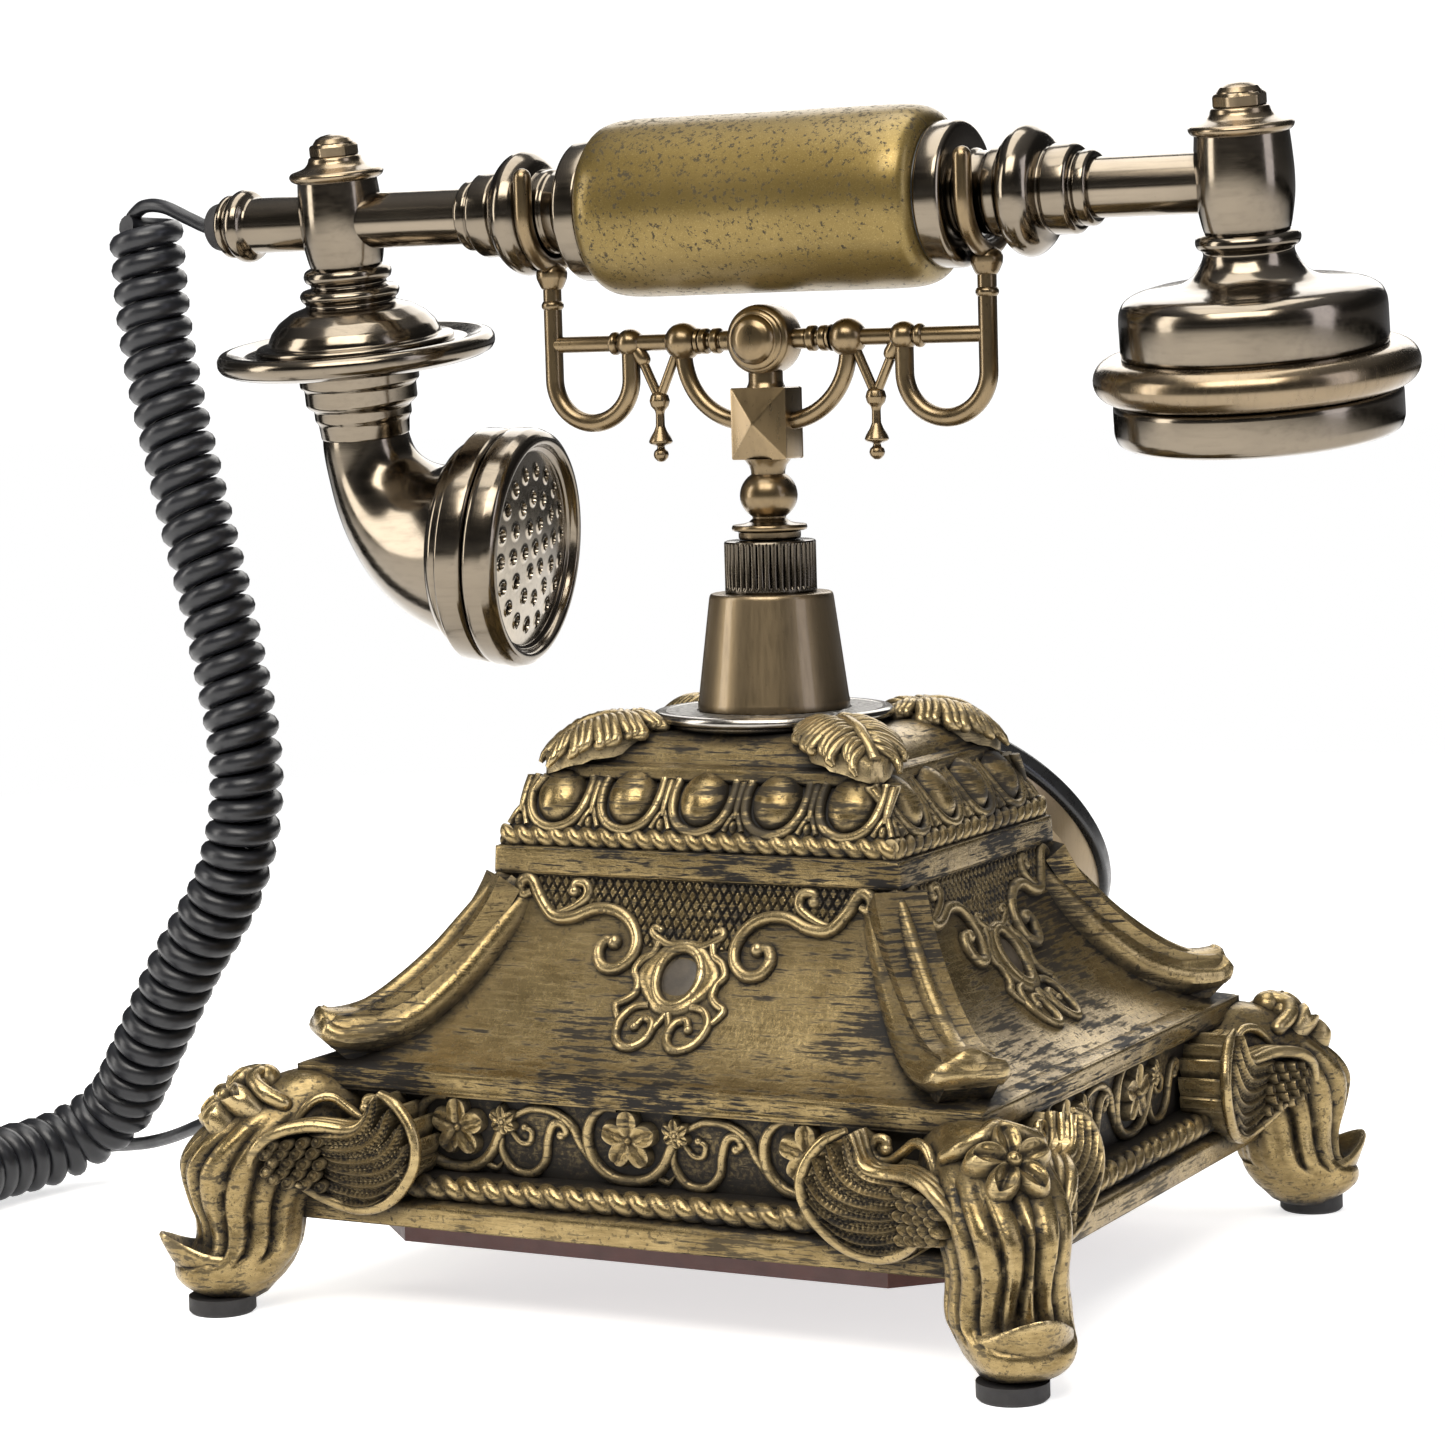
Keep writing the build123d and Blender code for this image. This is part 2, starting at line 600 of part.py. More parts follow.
with BuildPart() as guide_bush:
    turned(
        [
            (STEM_RADIUS + RUNNING_CLEARANCE, BUSH_FOOT_Z), (4.95, BUSH_FOOT_Z),
            (4.95, COLLAR_TOP_Z - 0.2), (STEM_RADIUS + RUNNING_CLEARANCE, COLLAR_TOP_Z - 0.2),
        ],
        AXIS_SECTION,
    )
guide_bush.part.label = "guide_bush"
export_step(guide_bush.part, "parts/guide_bush.step")

# ================================================================= cradle
CLIP_Z = BUSH_FOOT_Z - CRADLE_TRAVEL - 1.6
CLIP_THICK = 1.2
with BuildPart() as cradle_stem:
    with BuildSketch(AXIS_SECTION):
        with BuildLine():
            Polyline(
                (0, STEM_FOOT_Z), (STEM_RADIUS, STEM_FOOT_Z), (STEM_RADIUS, 140.5),
                (6.0, 140.5), (6.0, 142.1), (7.2, 142.1), (7.2, 143.3), (4.2, 143.6),
                (3.2, 144.4),
            )
            ThreePointArc((3.2, 144.4), (5.55, 148.9), (3.2, 153.4))
            Polyline((3.2, 153.4), (4.6, BLOCK_Z), (0, BLOCK_Z), (0, STEM_FOOT_Z))
        make_face()
    revolve(axis=Axis.Z)
cradle_stem.part.label = "cradle_stem"
export_step(cradle_stem.part, "parts/cradle_stem.step")

with BuildPart() as stem_clip:
    turned(
        [
            (STEM_RADIUS, CLIP_Z), (6.0, CLIP_Z), (6.0, CLIP_Z + CLIP_THICK),
            (STEM_RADIUS, CLIP_Z + CLIP_THICK),
        ],
        AXIS_SECTION,
    )
stem_clip.part.label = "stem_clip"
export_step(stem_clip.part, "parts/stem_clip.step")

SPRING_TURNS, SPRING_WIRE = 6, 0.5
spring_height = CLIP_Z - SPRING_SEAT_Z - 2 * SPRING_WIRE - 0.1
with BuildPart() as return_spring:
    with BuildLine(Plane.XY.offset(SPRING_SEAT_Z + SPRING_WIRE + 0.05)) as coil_line:
        Helix(pitch=spring_height / SPRING_TURNS, height=spring_height, radius=4.6)
    with BuildSketch(Plane(origin=coil_line.line @ 0, z_dir=coil_line.line % 0)):
        Circle(SPRING_WIRE)
    sweep(path=coil_line.line, is_frenet=True)
return_spring.part.label = "return_spring"
export_step(return_spring.part, "parts/return_spring.step")


def rod_along(line, radius):
    """A round rod along a finished line."""
    with BuildSketch(Plane(origin=line @ 0, z_dir=line % 0)) as section:
        Circle(radius)
    sweep(section.sketch, path=line)


BEND_RADIUS = 8.6
INNER_X = FORK_X - 2 * BEND_RADIUS
BEND_Z = 171.8
ARC_RADIUS = 13.5
FORK_STUB_Z = 190.0
with BuildPart() as cradle_frame:
    # block with a pyramid on its front and back
    box_from(-5.85, 5.85, -3.5, 3.5, BLOCK_Z, BLOCK_TOP_Z)
    for side in (-1, 1):
        block_mid = (0, side * 3.5, (BLOCK_Z + BLOCK_TOP_Z) / 2)
        with BuildSketch(Plane(origin=block_mid, x_dir=(1, 0, 0), z_dir=(0, side, 0))):
            Rectangle(11.7, BLOCK_TOP_Z - BLOCK_Z)
        extrude(amount=2.8, taper=62)
    with BuildSketch(Plane.XY.offset(BLOCK_TOP_Z)):
        Circle(3.4)
    extrude(amount=4.0)
    # round boss in the middle of the bar
    with BuildSketch(Plane(origin=(0, -4.0, BAR_Z), z_dir=(0, 1, 0))):
        Circle(6.7)
    extrude(amount=8.0)
    for side in (-1, 1):
        with BuildLine() as bar_line:
            Line((0, 0, BAR_Z), (side * FORK_X, 0, BAR_Z))
        rod_along(bar_line.line, BAR_RADIUS)
        with BuildLine() as bend_line:
            Line((side * FORK_X, 0, FORK_STUB_Z), (side * FORK_X, 0, BEND_Z))
            ThreePointArc(
                (side * FORK_X, 0, BEND_Z),
                (side * (FORK_X - BEND_RADIUS), 0, BEND_Z - BEND_RADIUS),
                (side * INNER_X, 0, BEND_Z),
            )
            Line((side * INNER_X, 0, BEND_Z), (side * INNER_X, 0, BAR_Z))
        rod_along(bend_line.line, BEND_ROD_RADIUS)
        with BuildLine() as arc_line:
            RadiusArc(
                (side * 17.6, 0, BAR_Z - 2), (side * 5.0, 0, 163.0), side * ARC_RADIUS
            )
        rod_along(arc_line.line, 1.7)
        with Locations((side * INNER_X, 0, BAR_Z)):
            Sphere(2.8)
        with Locations((side * 17.6, 0, BAR_Z)):
            Sphere(3.7)
        for x, radius in ((9.6, 2.5), (12.2, 2.5)):
            with BuildSketch(Plane(origin=(side * x, 0, BAR_Z), z_dir=(side, 0, 0))):
                Circle(radius)
            extrude(amount=1.3)
        # pendant: two thin arms, a bead, a stem, a cone and a drop
        pendant_x = side * 23.2
        for foot_x in (18.8, 27.8):
            with BuildLine() as arm_line:
                Line((side * foot_x, 0, BAR_Z - 1.6), (pendant_x, 0, 167.6))
            rod_along(arm_line.line, 0.9)
        with Locations((pendant_x, 0, 167.3)):
            Sphere(2.0)
        with Locations((pendant_x, 0, 156.9)):
            Sphere(1.5)
        turned(
            [(0, 157.4), (1.0, 158.2), (2.3, 159.2), (0.8, 161.4), (0.8, 166.4), (0, 166.4)],
            Plane(origin=(pendant_x, 0, 0), x_dir=(1, 0, 0), z_dir=(0, -1, 0)),
        )
cradle_frame.part.label = "cradle_frame"
export_step(cradle_frame.part, "parts/cradle_frame.step")

FORK_ROD = 1.75
FORK_ARC = NECK_RADIUS + FORK_ROD + 0.2
FORK_TIP_Z = 211.2
with BuildPart() as cradle_forks:
    for side in (-1, 1):
        x = side * FORK_X
        with BuildLine() as prong_line:
            Line((x, -FORK_ARC, FORK_TIP_Z), (x, -FORK_ARC, HANDSET_Z))
            ThreePointArc(
                (x, -FORK_ARC, HANDSET_Z), (x, 0, HANDSET_Z - FORK_ARC), (x, FORK_ARC, HANDSET_Z)
            )
            Line((x, FORK_ARC, HANDSET_Z), (x, FORK_ARC, FORK_TIP_Z))
        rod_along(prong_line.line, FORK_ROD)
        turned(
            [
                (0, FORK_STUB_Z), (2.3, FORK_STUB_Z), (2.95, 191.6), (2.9, 193.4), (0, 193.4),
            ],
            Plane(origin=(x, 0, 0), x_dir=(1, 0, 0), z_dir=(0, -1, 0)),
        )
        for y in (-FORK_ARC, FORK_ARC):
            with Locations((x, y, FORK_TIP_Z)):
                Sphere(FORK_ROD)
cradle_forks.part.label = "cradle_forks"
export_step(cradle_forks.part, "parts/cradle_forks.step")

with BuildPart() as boss_caps:
    for side in (-1, 1):
        cap_section = Plane(origin=(0, side * 4.0, BAR_Z), x_dir=(1, 0, 0), z_dir=(0, 0, side))
        turned(
            [(0, 0), (5.6, 0), (5.6, 0.6), (4.8, 0.8), (4.4, 1.8), (2.6, 2.6), (0, 2.8)],
            cap_section,
        )
boss_caps.part.label = "boss_caps"
export_step(boss_caps.part, "parts/boss_caps.step")

# ================================================================= dial
with BuildPart() as dial_housing:
    add(housing_envelope.part)
    turned(
        [
            (0, -38.6), (13.6, -38.6), (13.6, -25.2), (16.6, -22.8), (24.6, -17.4),
            (30.4, -11.6), (34.2, -6.2), (35.6, -1), (0, -1),
        ],
        dial_section, mode=Mode.SUBTRACT,
    )
    turned([(0, -41), (4, -41), (4, -36), (0, -36)], dial_section, mode=Mode.SUBTRACT)
dial_housing.part.label = "dial_housing"
export_step(dial_housing.part, "parts/dial_housing.step")

with BuildPart() as dial_bezel:
    turned(
        [
            (33.4, -2), (38.4, -2), (DIAL_RADIUS, -1.2), (DIAL_RADIUS, 1.6), (38.0, 2.8),
            (36.0, 3.0), (34.6, 2.0), (34.6, 0), (33.4, 0),
        ],
        dial_section,
    )
dial_bezel.part.label = "dial_bezel"
export_step(dial_bezel.part, "parts/dial_bezel.step")

with BuildPart() as number_plate:
    turned([(3.6, 0), (34.5, 0), (34.5, 0.8), (3.6, 0.8)], dial_section)
number_plate.part.label = "number_plate"
export_step(number_plate.part, "parts/number_plate.step")

with BuildPart() as dial_frame:
    turned(
        [
            (STEM_RADIUS + RUNNING_CLEARANCE, -5.6), (7, -5.6), (7, -3.4), (33.3, -3.4),
            (33.3, -0.1), (31, -0.1), (31, -1.8), (STEM_RADIUS + RUNNING_CLEARANCE, -1.8),
        ],
        dial_section,
    )
    with BuildSketch(dial_plane.offset(-5)):
        with Locations((0, -(GEAR_TEETH + PINION_TEETH) * GEAR_MODULE / 2 - 0.04)):
            Circle(1.05)
    extrude(amount=6, mode=Mode.SUBTRACT)
dial_frame.part.label = "dial_frame"
export_step(dial_frame.part, "parts/dial_frame.step")

HOLES, HOLE_PITCH, HOLE_RADIUS = 10, 25.0, 5.0
HOLE_STEP = 30.0
FIRST_HOLE = 65.0
with BuildPart() as finger_wheel:
    with BuildSketch(dial_plane.offset(2.0)):
        Circle(32.0)
        Circle(STEM_RADIUS, mode=Mode.SUBTRACT)
        for index in range(HOLES):
            angle = radians(FIRST_HOLE + index * HOLE_STEP)
            with Locations((HOLE_PITCH * cos(angle), HOLE_PITCH * sin(angle))):
                Circle(HOLE_RADIUS, mode=Mode.SUBTRACT)
    extrude(amount=1.4)
    chamfer(finger_wheel.edges().filter_by(GeomType.CIRCLE).sort_by(SortBy.RADIUS)[-2:], 0.3)
finger_wheel.part.label = "finger_wheel"
export_step(finger_wheel.part, "parts/finger_wheel.step")

with BuildPart() as dial_hub_cap:
    turned(
        [(0, 3.4), (14.5, 3.4), (14.5, 4.0), (13.4, 4.8), (11, 5.2), (0, 5.4)], dial_section
    )
dial_hub_cap.part.label = "dial_hub_cap"
export_step(dial_hub_cap.part, "parts/dial_hub_cap.step")

STOP_ANGLE = radians(-52)
with BuildPart() as finger_stop:
    with BuildSketch(dial_plane.offset(3.9)):
        with BuildLine():
            Polyline(
                (22.5 * cos(STOP_ANGLE) - 1.2, 22.5 * sin(STOP_ANGLE)),
                (22.5 * cos(STOP_ANGLE) + 1.6, 22.5 * sin(STOP_ANGLE) + 1.2),
                (36.6 * cos(STOP_ANGLE) + 2.4, 36.6 * sin(STOP_ANGLE) + 1.6),
                (36.6 * cos(STOP_ANGLE) - 2.6, 36.6 * sin(STOP_ANGLE) - 1.6),
                close=True,
            )
        make_face()
    extrude(amount=1.2)
    with BuildSketch(dial_plane.offset(3.0)):
        with Locations((36.9 * cos(STOP_ANGLE), 36.9 * sin(STOP_ANGLE))):
            Circle(1.3)
    extrude(amount=1.0)
finger_stop.part.label = "finger_stop"
export_step(finger_stop.part, "parts/finger_stop.step")


def involute_gear(teeth, module, turn, bore):
    """Spur gear outline, thinned a little for backlash, turned by `turn` degrees."""
    pitch = teeth * module / 2
    base = pitch * cos(radians(20))
    tip = pitch + 0.85 * module
    root = pitch - 1.15 * module
    inv = tan(radians(20)) - radians(20)
    half = pi / (2 * teeth) - 0.05 / pitch
    start = max(base, root + 0.02)
    flank = []
    for step in range(6):
        radius = start + (tip - start) * step / 5
        swing = (max(radius ** 2 - base ** 2, 0) ** 0.5) / base
        roll = swing - atan_of(swing)
        flank.append((radius, half + inv - roll))
    Circle(root)
    for tooth in range(teeth):
        middle = radians(turn) + 2 * pi * tooth / teeth
        left = [(r * cos(middle + a), r * sin(middle + a)) for r, a in flank]
        right = [(r * cos(middle - a), r * sin(middle - a)) for r, a in reversed(flank)]
        inner = root - 0.3
        spread = flank[0][1]
        with BuildLine() as tooth_line:
            Polyline(
                (inner * cos(middle - spread), inner * sin(middle - spread)),
                (inner * cos(middle + spread), inner * sin(middle + spread)),
                *left, *right, close=True,
            )
        make_face(tooth_line.line)
    Circle(bore, mode=Mode.SUBTRACT)


def atan_of(value):
    """Angle whose tangent is value, by a short series of half angles."""
    halvings = 4
    for _ in range(halvings):
        value = value / (1 + (1 + value * value) ** 0.5)
    angle = value - value ** 3 / 3 + value ** 5 / 5
    return angle * 2 ** halvings


GEAR_DEPTH = -10.0
GEAR_WIDTH = 2.0
with BuildPart() as dial_gear:
    with BuildSketch(dial_plane.offset(GEAR_DEPTH)):
        involute_gear(GEAR_TEETH, GEAR_MODULE, -90, STEM_RADIUS - 1)
    extrude(amount=GEAR_WIDTH)
    turned([(0, -14), (STEM_RADIUS, -14), (STEM_RADIUS, 3.4), (0, 3.4)], dial_section)
    turned(
        [(0, GEAR_DEPTH + GEAR_WIDTH), (5.5, GEAR_DEPTH + GEAR_WIDTH), (5.5, -6), (0, -6)],
        dial_section,
    )
dial_gear.part.label = "dial_gear"
export_step(dial_gear.part, "parts/dial_gear.step")

PINION_Y = -(GEAR_TEETH + PINION_TEETH) * GEAR_MODULE / 2 - 0.04
pinion_plane = Plane(
    origin=dial_plane.from_local_coords((0, PINION_Y, 0)),
    x_dir=(1, 0, 0),
    z_dir=dial_plane.z_dir,
)
with BuildPart() as governor_pinion:
    with BuildSketch(pinion_plane.offset(GEAR_DEPTH - 0.4)):
        involute_gear(PINION_TEETH, GEAR_MODULE, 90 + 180 / PINION_TEETH, 0.4)
    extrude(amount=GEAR_WIDTH + 0.8)
    with BuildSketch(pinion_plane.offset(GEAR_DEPTH - 1.4)):
        Circle(1.0)
    extrude(amount=9.2)
governor_pinion.part.label = "governor_pinion"
export_step(governor_pinion.part, "parts/governor_pinion.step")

# ================================================================= handset
HANDLE_AXIS = Axis((0, 0, HANDSET_Z), (1, 0, 0))


def turned_bar(points, mode=Mode.ADD):
    """Revolves (radius, distance from the grip's middle) points about the handset axis."""
    with BuildSketch(along_handset) as profile:
        with BuildLine():
            Polyline(*points, close=True)
        make_face()
    revolve(profile.sketch, axis=HANDLE_AXIS, mode=mode)


with BuildPart() as grip:
    with BuildSketch(along_handset):
        with BuildLine():
            Polyline(
                (ROD_RADIUS + 0.1, 0), (GRIP_RADIUS, 0), (GRIP_RADIUS - 0.15, GRIP_HALF - 6.0)
            )
            ThreePointArc(
                (GRIP_RADIUS - 0.15, GRIP_HALF - 6.0), (GRIP_RADIUS - 1.6, GRIP_HALF - 1.8),
                (GRIP_RADIUS - 5.0, GRIP_HALF),
            )
            Polyline(
                (GRIP_RADIUS - 5.0, GRIP_HALF), (ROD_RADIUS + 0.1, GRIP_HALF),
                (ROD_RADIUS + 0.1, 0),
            )
        make_face()
        mirror(about=Plane.XZ)
    revolve(axis=HANDLE_AXIS)
grip.part.label = "grip"
export_step(grip.part, "parts/grip.step")

with BuildPart() as tie_rod:
    turned_bar(
        [(2.0, -60), (ROD_RADIUS, -60), (ROD_RADIUS, 60), (2.0, 60)]
    )
tie_rod.part.label = "tie_rod"
export_step(tie_rod.part, "parts/tie_rod.step")

FERRULE_END = 40.2
with BuildPart() as ferrules:
    for s in (-1, 1):
        turned_bar(
            [
                (ROD_RADIUS + 0.1, s * GRIP_HALF), (13.65, s * GRIP_HALF),
                (13.65, s * FERRULE_END), (12.9, s * (FERRULE_END + 0.6)),
                (10.4, s * (FERRULE_END + 1.0)), (ROD_RADIUS + 0.1, s * (FERRULE_END + 1.0)),
            ]
        )
ferrules.part.label = "ferrules"
export_step(ferrules.part, "parts/ferrules.step")

BEAD_MID, BEAD_RADIUS = 53.5, 12.15
STEP_ONE_END, STEP_TWO_END = 63.4, 66.8
with BuildPart() as neck_spools:
    for s in (-1, 1):
        with BuildSketch(along_handset):
            with BuildLine():
                Polyline(
                    (ROD_RADIUS + 0.1, s * (FERRULE_END + 1.0)),
                    (NECK_RADIUS, s * (FERRULE_END + 1.0)), (NECK_RADIUS, s * (BEAD_MID - 3.6)),
                )
                ThreePointArc(
                    (NECK_RADIUS, s * (BEAD_MID - 3.6)), (BEAD_RADIUS, s * BEAD_MID),
                    (8.1, s * (BEAD_MID + 3.7)),
                )
                Polyline(
                    (8.1, s * (BEAD_MID + 3.7)), (8.1, s * (STEP_ONE_END - 0.6)),
                    (7.6, s * STEP_ONE_END), (6.9, s * STEP_ONE_END),
                    (6.9, s * (STEP_TWO_END - 0.6)), (6.3, s * STEP_TWO_END),
                    (TUBE_RADIUS, s * STEP_TWO_END), (TUBE_RADIUS, s * (STEP_TWO_END - 5)),
                    (ROD_RADIUS + 0.1, s * (STEP_TWO_END - 5)),
                    (ROD_RADIUS + 0.1, s * (FERRULE_END + 1.0)),
                )
            make_face()
        revolve(axis=HANDLE_AXIS)
neck_spools.part.label = "neck_spools"
export_step(neck_spools.part, "parts/neck_spools.step")

COLUMN_RADIUS = 8.4
STUD_RADIUS = 2.4
MOUTH_REACH = MOUTH_X - HANDSET_MID_X
EAR_REACH = EAR_X - HANDSET_MID_X
END_RING = 117.5 - HANDSET_MID_X
with BuildPart() as arm_tubes:
    turned_bar(
        [
            (4.2, STEP_TWO_END - 4.9), (TUBE_RADIUS - 0.05, STEP_TWO_END - 4.9),
            (TUBE_RADIUS - 0.05, MOUTH_REACH - 4), (4.2, MOUTH_REACH - 4),
        ]
    )
    turned_bar(
        [
            (4.2, -STEP_TWO_END + 4.9), (TUBE_RADIUS - 0.05, -STEP_TWO_END + 4.9),
            (TUBE_RADIUS - 0.05, EAR_REACH + 4), (4.2, EAR_REACH + 4),
        ]
    )
    # short end tube with its turned ring, on the cord side
    turned_bar(
        [
            (4.2, MOUTH_REACH + 4), (TUBE_RADIUS - 0.05, MOUTH_REACH + 4),
            (TUBE_RADIUS - 0.05, END_RING - 1.6), (6.9, END_RING - 0.8), (7.4, END_RING + 0.4),
            (6.9, END_RING + 1.8), (6.0, END_RING + 2.6), (6.4, END_RING + 3.4),
            (6.0, END_RING + 4.8), (4.2, END_RING + 4.8),
        ]
    )
arm_tubes.part.label = "arm_tubes"
export_step(arm_tubes.part, "parts/arm_tubes.step")

with BuildPart() as columns:
    for plane, waist in ((mouth_plane, 0.0), (ear_plane, 0.5)):
        with BuildSketch(plane):
            with BuildLine():
                Polyline((STUD_RADIUS + 0.1, -9), (7.2 + waist, -9))
                ThreePointArc((7.2 + waist, -9), (8.5 + waist, 1.0), (8.0 + waist, 8.6))
                Polyline((8.0 + waist, 8.6), (STUD_RADIUS + 0.1, 8.6), (STUD_RADIUS + 0.1, -9))
            make_face()
        revolve(axis=Axis(plane.origin, plane.y_dir))
    # cross bores for the tubes
    for reach0, reach1 in (
        (MOUTH_REACH - 14, MOUTH_REACH - 4), (MOUTH_REACH + 4, MOUTH_REACH + 14),
        (EAR_REACH + 4, EAR_REACH + 14),
    ):
        turned_bar(
            [(0, reach0), (TUBE_RADIUS, reach0), (TUBE_RADIUS, reach1), (0, reach1)],
            mode=Mode.SUBTRACT,
        )
columns.part.label = "columns"
export_step(columns.part, "parts/columns.step")

with BuildPart() as column_caps:
    for plane in (mouth_plane, ear_plane):
        turned(
            [
                (STUD_RADIUS + 0.1, 8.6), (8.4, 8.6), (9.4, 9.2), (9.5, 10.0), (8.6, 10.7),
                (6.0, 11.2), (4.9, 12.6), (4.9, 13.4), (STUD_RADIUS + 0.1, 13.4),
            ],
            plane,
        )
column_caps.part.label = "column_caps"
export_step(column_caps.part, "parts/column_caps.step")

with BuildPart() as cap_nuts:
    for plane in (mouth_plane, ear_plane):
        seat = Plane(
            origin=plane.from_local_coords((0, 13.4, 0)), x_dir=(1, 0, 0), z_dir=plane.y_dir
        )
        with BuildSketch(seat):
            RegularPolygon(4.9, 6)
        extrude(amount=2.2)
        turned([(0, 15.6), (4.2, 15.6), (3.4, 16.8), (1.8, 17.5), (0, 17.6)], plane)
        turned([(0, -6), (STUD_RADIUS, -6), (STUD_RADIUS, 13.4), (0, 13.4)], plane)
cap_nuts.part.label = "cap_nuts"
export_step(cap_nuts.part, "parts/cap_nuts.step")

with BuildPart() as cord_grommet:
    turned_bar(
        [
            (TAIL_RADIUS + 0.05, END_RING - 2), (4.1, END_RING - 2), (4.1, END_RING + 4.8),
            (5.0, END_RING + 4.8), (4.6, END_RING + 8.0), (3.0, END_RING + 8.8),
            (TAIL_RADIUS + 0.05, END_RING + 8.8),
        ]
    )
cord_grommet.part.label = "cord_grommet"
export_step(cord_grommet.part, "parts/cord_grommet.step")

# ---- mouthpiece side, hanging from the column
FLANGE_FOOT = -43.6
with BuildPart() as mouth_flange:
    turned(
        [
            (3.4, -9), (7.4, -9), (8.8, -9.8), (8.8, -11.4), (7.6, -12.2), (7.8, -12.8),
            (10.0, -13.4), (10.0, -15.2), (9.0, -16.2), (12.4, -17.6), (15.6, -20.0),
            (17.4, -22.6), (17.6, -23.6), (20.0, -24.0), (20.0, -25.0), (26.5, -24.0),
            (28.0, -24.8), (28.3, -26.4), (27.4, -28.2), (24.5, -29.0), (13.0, -28.4),
            (12.0, -33.0), (11.3, -35.0), (11.3, -37.0), (9.9, -37.6), (9.9, -40.0),
            (8.8, -40.8), (8.8, FLANGE_FOOT), (6.4, FLANGE_FOOT), (6.4, -30), (3.4, -24),
        ],
        mouth_plane,
    )
mouth_flange.part.label = "mouth_flange"
export_step(mouth_flange.part, "parts/mouth_flange.step")

UP = mouth_plane.y_dir
ACROSS = Vector(0, LEAN_Z, -LEAN_Y)
FACE_OUT = (
    Vector(-1, 0, 0) * cos(radians(HORN_TWIST)) - ACROSS * sin(radians(HORN_TWIST))
)
horn_start = mouth_plane.origin + UP * FLANGE_FOOT


def horn_plane(degrees):
    """Plane across the horn after `degrees` of its bend."""
    turn = radians(degrees)
    middle = horn_start + FACE_OUT * (HORN_BEND * (1 - cos(turn))) - UP * (HORN_BEND * sin(turn))
    return Plane(origin=middle, x_dir=ACROSS, z_dir=FACE_OUT * sin(turn) - UP * cos(turn))


HORN_STATIONS = [(0, 8.6), (18, 9.3), (38, 11.8), (60, 15.8), (HORN_SWEEP, 19.6)]
HORN_WALL = 1.4
face_plane = horn_plane(HORN_SWEEP)

with BuildPart() as horn:
    for degrees, radius in HORN_STATIONS:
        with BuildSketch(horn_plane(degrees)):
            Circle(radius)
    loft()
    for degrees, radius in HORN_STATIONS:
        with BuildSketch(horn_plane(degrees)):
            Circle(radius - HORN_WALL)
    loft(mode=Mode.SUBTRACT)
    # stepped collar that the mouthpiece cap screws on to
    with BuildSketch(face_plane):
        Circle(21.2)
        Circle(16.0, mode=Mode.SUBTRACT)
    extrude(amount=1.8)
    with BuildSketch(face_plane.offset(1.8)):
        Circle(23.7)
        Circle(16.0, mode=Mode.SUBTRACT)
    extrude(amount=6.2)
    with BuildSketch(face_plane.offset(8.0)):
        Circle(21.0)
        Circle(19.0, mode=Mode.SUBTRACT)
    extrude(amount=3.0)
horn.part.label = "horn"
export_step(horn.part, "parts/horn.step")

CAP_SEAT = 8.3
with BuildPart() as mouthpiece_cap:
    with BuildSketch(face_plane.offset(CAP_SEAT)):
        Circle(CAP_RADIUS)
    extrude(amount=7.0)
    rims = mouthpiece_cap.edges().filter_by(GeomType.CIRCLE)
    front_rim = max(rims, key=lambda rim: (rim.center() - face_plane.origin).dot(face_plane.z_dir))
    chamfer(front_rim, 2.2)
    with BuildSketch(face_plane.offset(CAP_SEAT + 5.0)):
        Circle(20.6)
    extrude(amount=3.0, mode=Mode.SUBTRACT)
    with BuildSketch(face_plane.offset(CAP_SEAT)):
        Circle(21.1)
    extrude(amount=3.4, mode=Mode.SUBTRACT)
    with BuildSketch(face_plane.offset(CAP_SEAT + 5.0)):
        Circle(20.4)
    extrude(amount=1.6, taper=30)
    with BuildSketch(face_plane.offset(CAP_SEAT)):
        Circle(1.1)
        for ring, count in ((5.2, 6), (10.4, 12), (15.6, 18)):
            with PolarLocations(ring, count):
                Circle(1.1)
    extrude(amount=9.0, mode=Mode.SUBTRACT)
mouthpiece_cap.part.label = "mouthpiece_cap"
export_step(mouthpiece_cap.part, "parts/mouthpiece_cap.step")

with BuildPart() as microphone:
    with BuildSketch(face_plane.offset(2.0)):
        Circle(15.8)
    extrude(amount=5.6)
    with BuildSketch(face_plane.offset(7.6)):
        Circle(13.0)
    extrude(amount=1.6)
microphone.part.label = "microphone"
export_step(microphone.part, "parts/microphone.step")

# ---- earpiece side
with BuildPart() as ear_cup:
    turned(
        [
            (3.4, -9), (8.0, -9), (9.4, -9.8), (9.4, -11.4), (8.2, -12.2), (8.4, -13.2),
            (9.6, -15.6), (12.2, -18.0), (19.6, -18.6), (22.6, -19.8), (24.2, -22.6),
            (24.2, -30.2), (22.6, -30.2), (22.6, -23.0), (21.6, -21.2), (19.2, -20.2),
            (11.6, -19.6), (5.0, -17.0), (3.4, -14.0),
        ],
        ear_plane,
    )
ear_cup.part.label = "ear_cup"
export_step(ear_cup.part, "parts/ear_cup.step")

EAR_RING_Z = -34.1
with BuildPart() as ear_ring:
    with BuildSketch(ear_plane):
        with BuildLine():
            Polyline((20.0, -38.0), (20.0, -30.2), (25.8, -30.2))
            ThreePointArc((25.8, -30.2), (29.6, EAR_RING_Z), (25.8, -38.0))
            Line((25.8, -38.0), (20.0, -38.0))
        make_face()
    revolve(axis=Axis(ear_plane.origin, ear_plane.y_dir))
ear_ring.part.label = "ear_ring"
export_step(ear_ring.part, "parts/ear_ring.step")

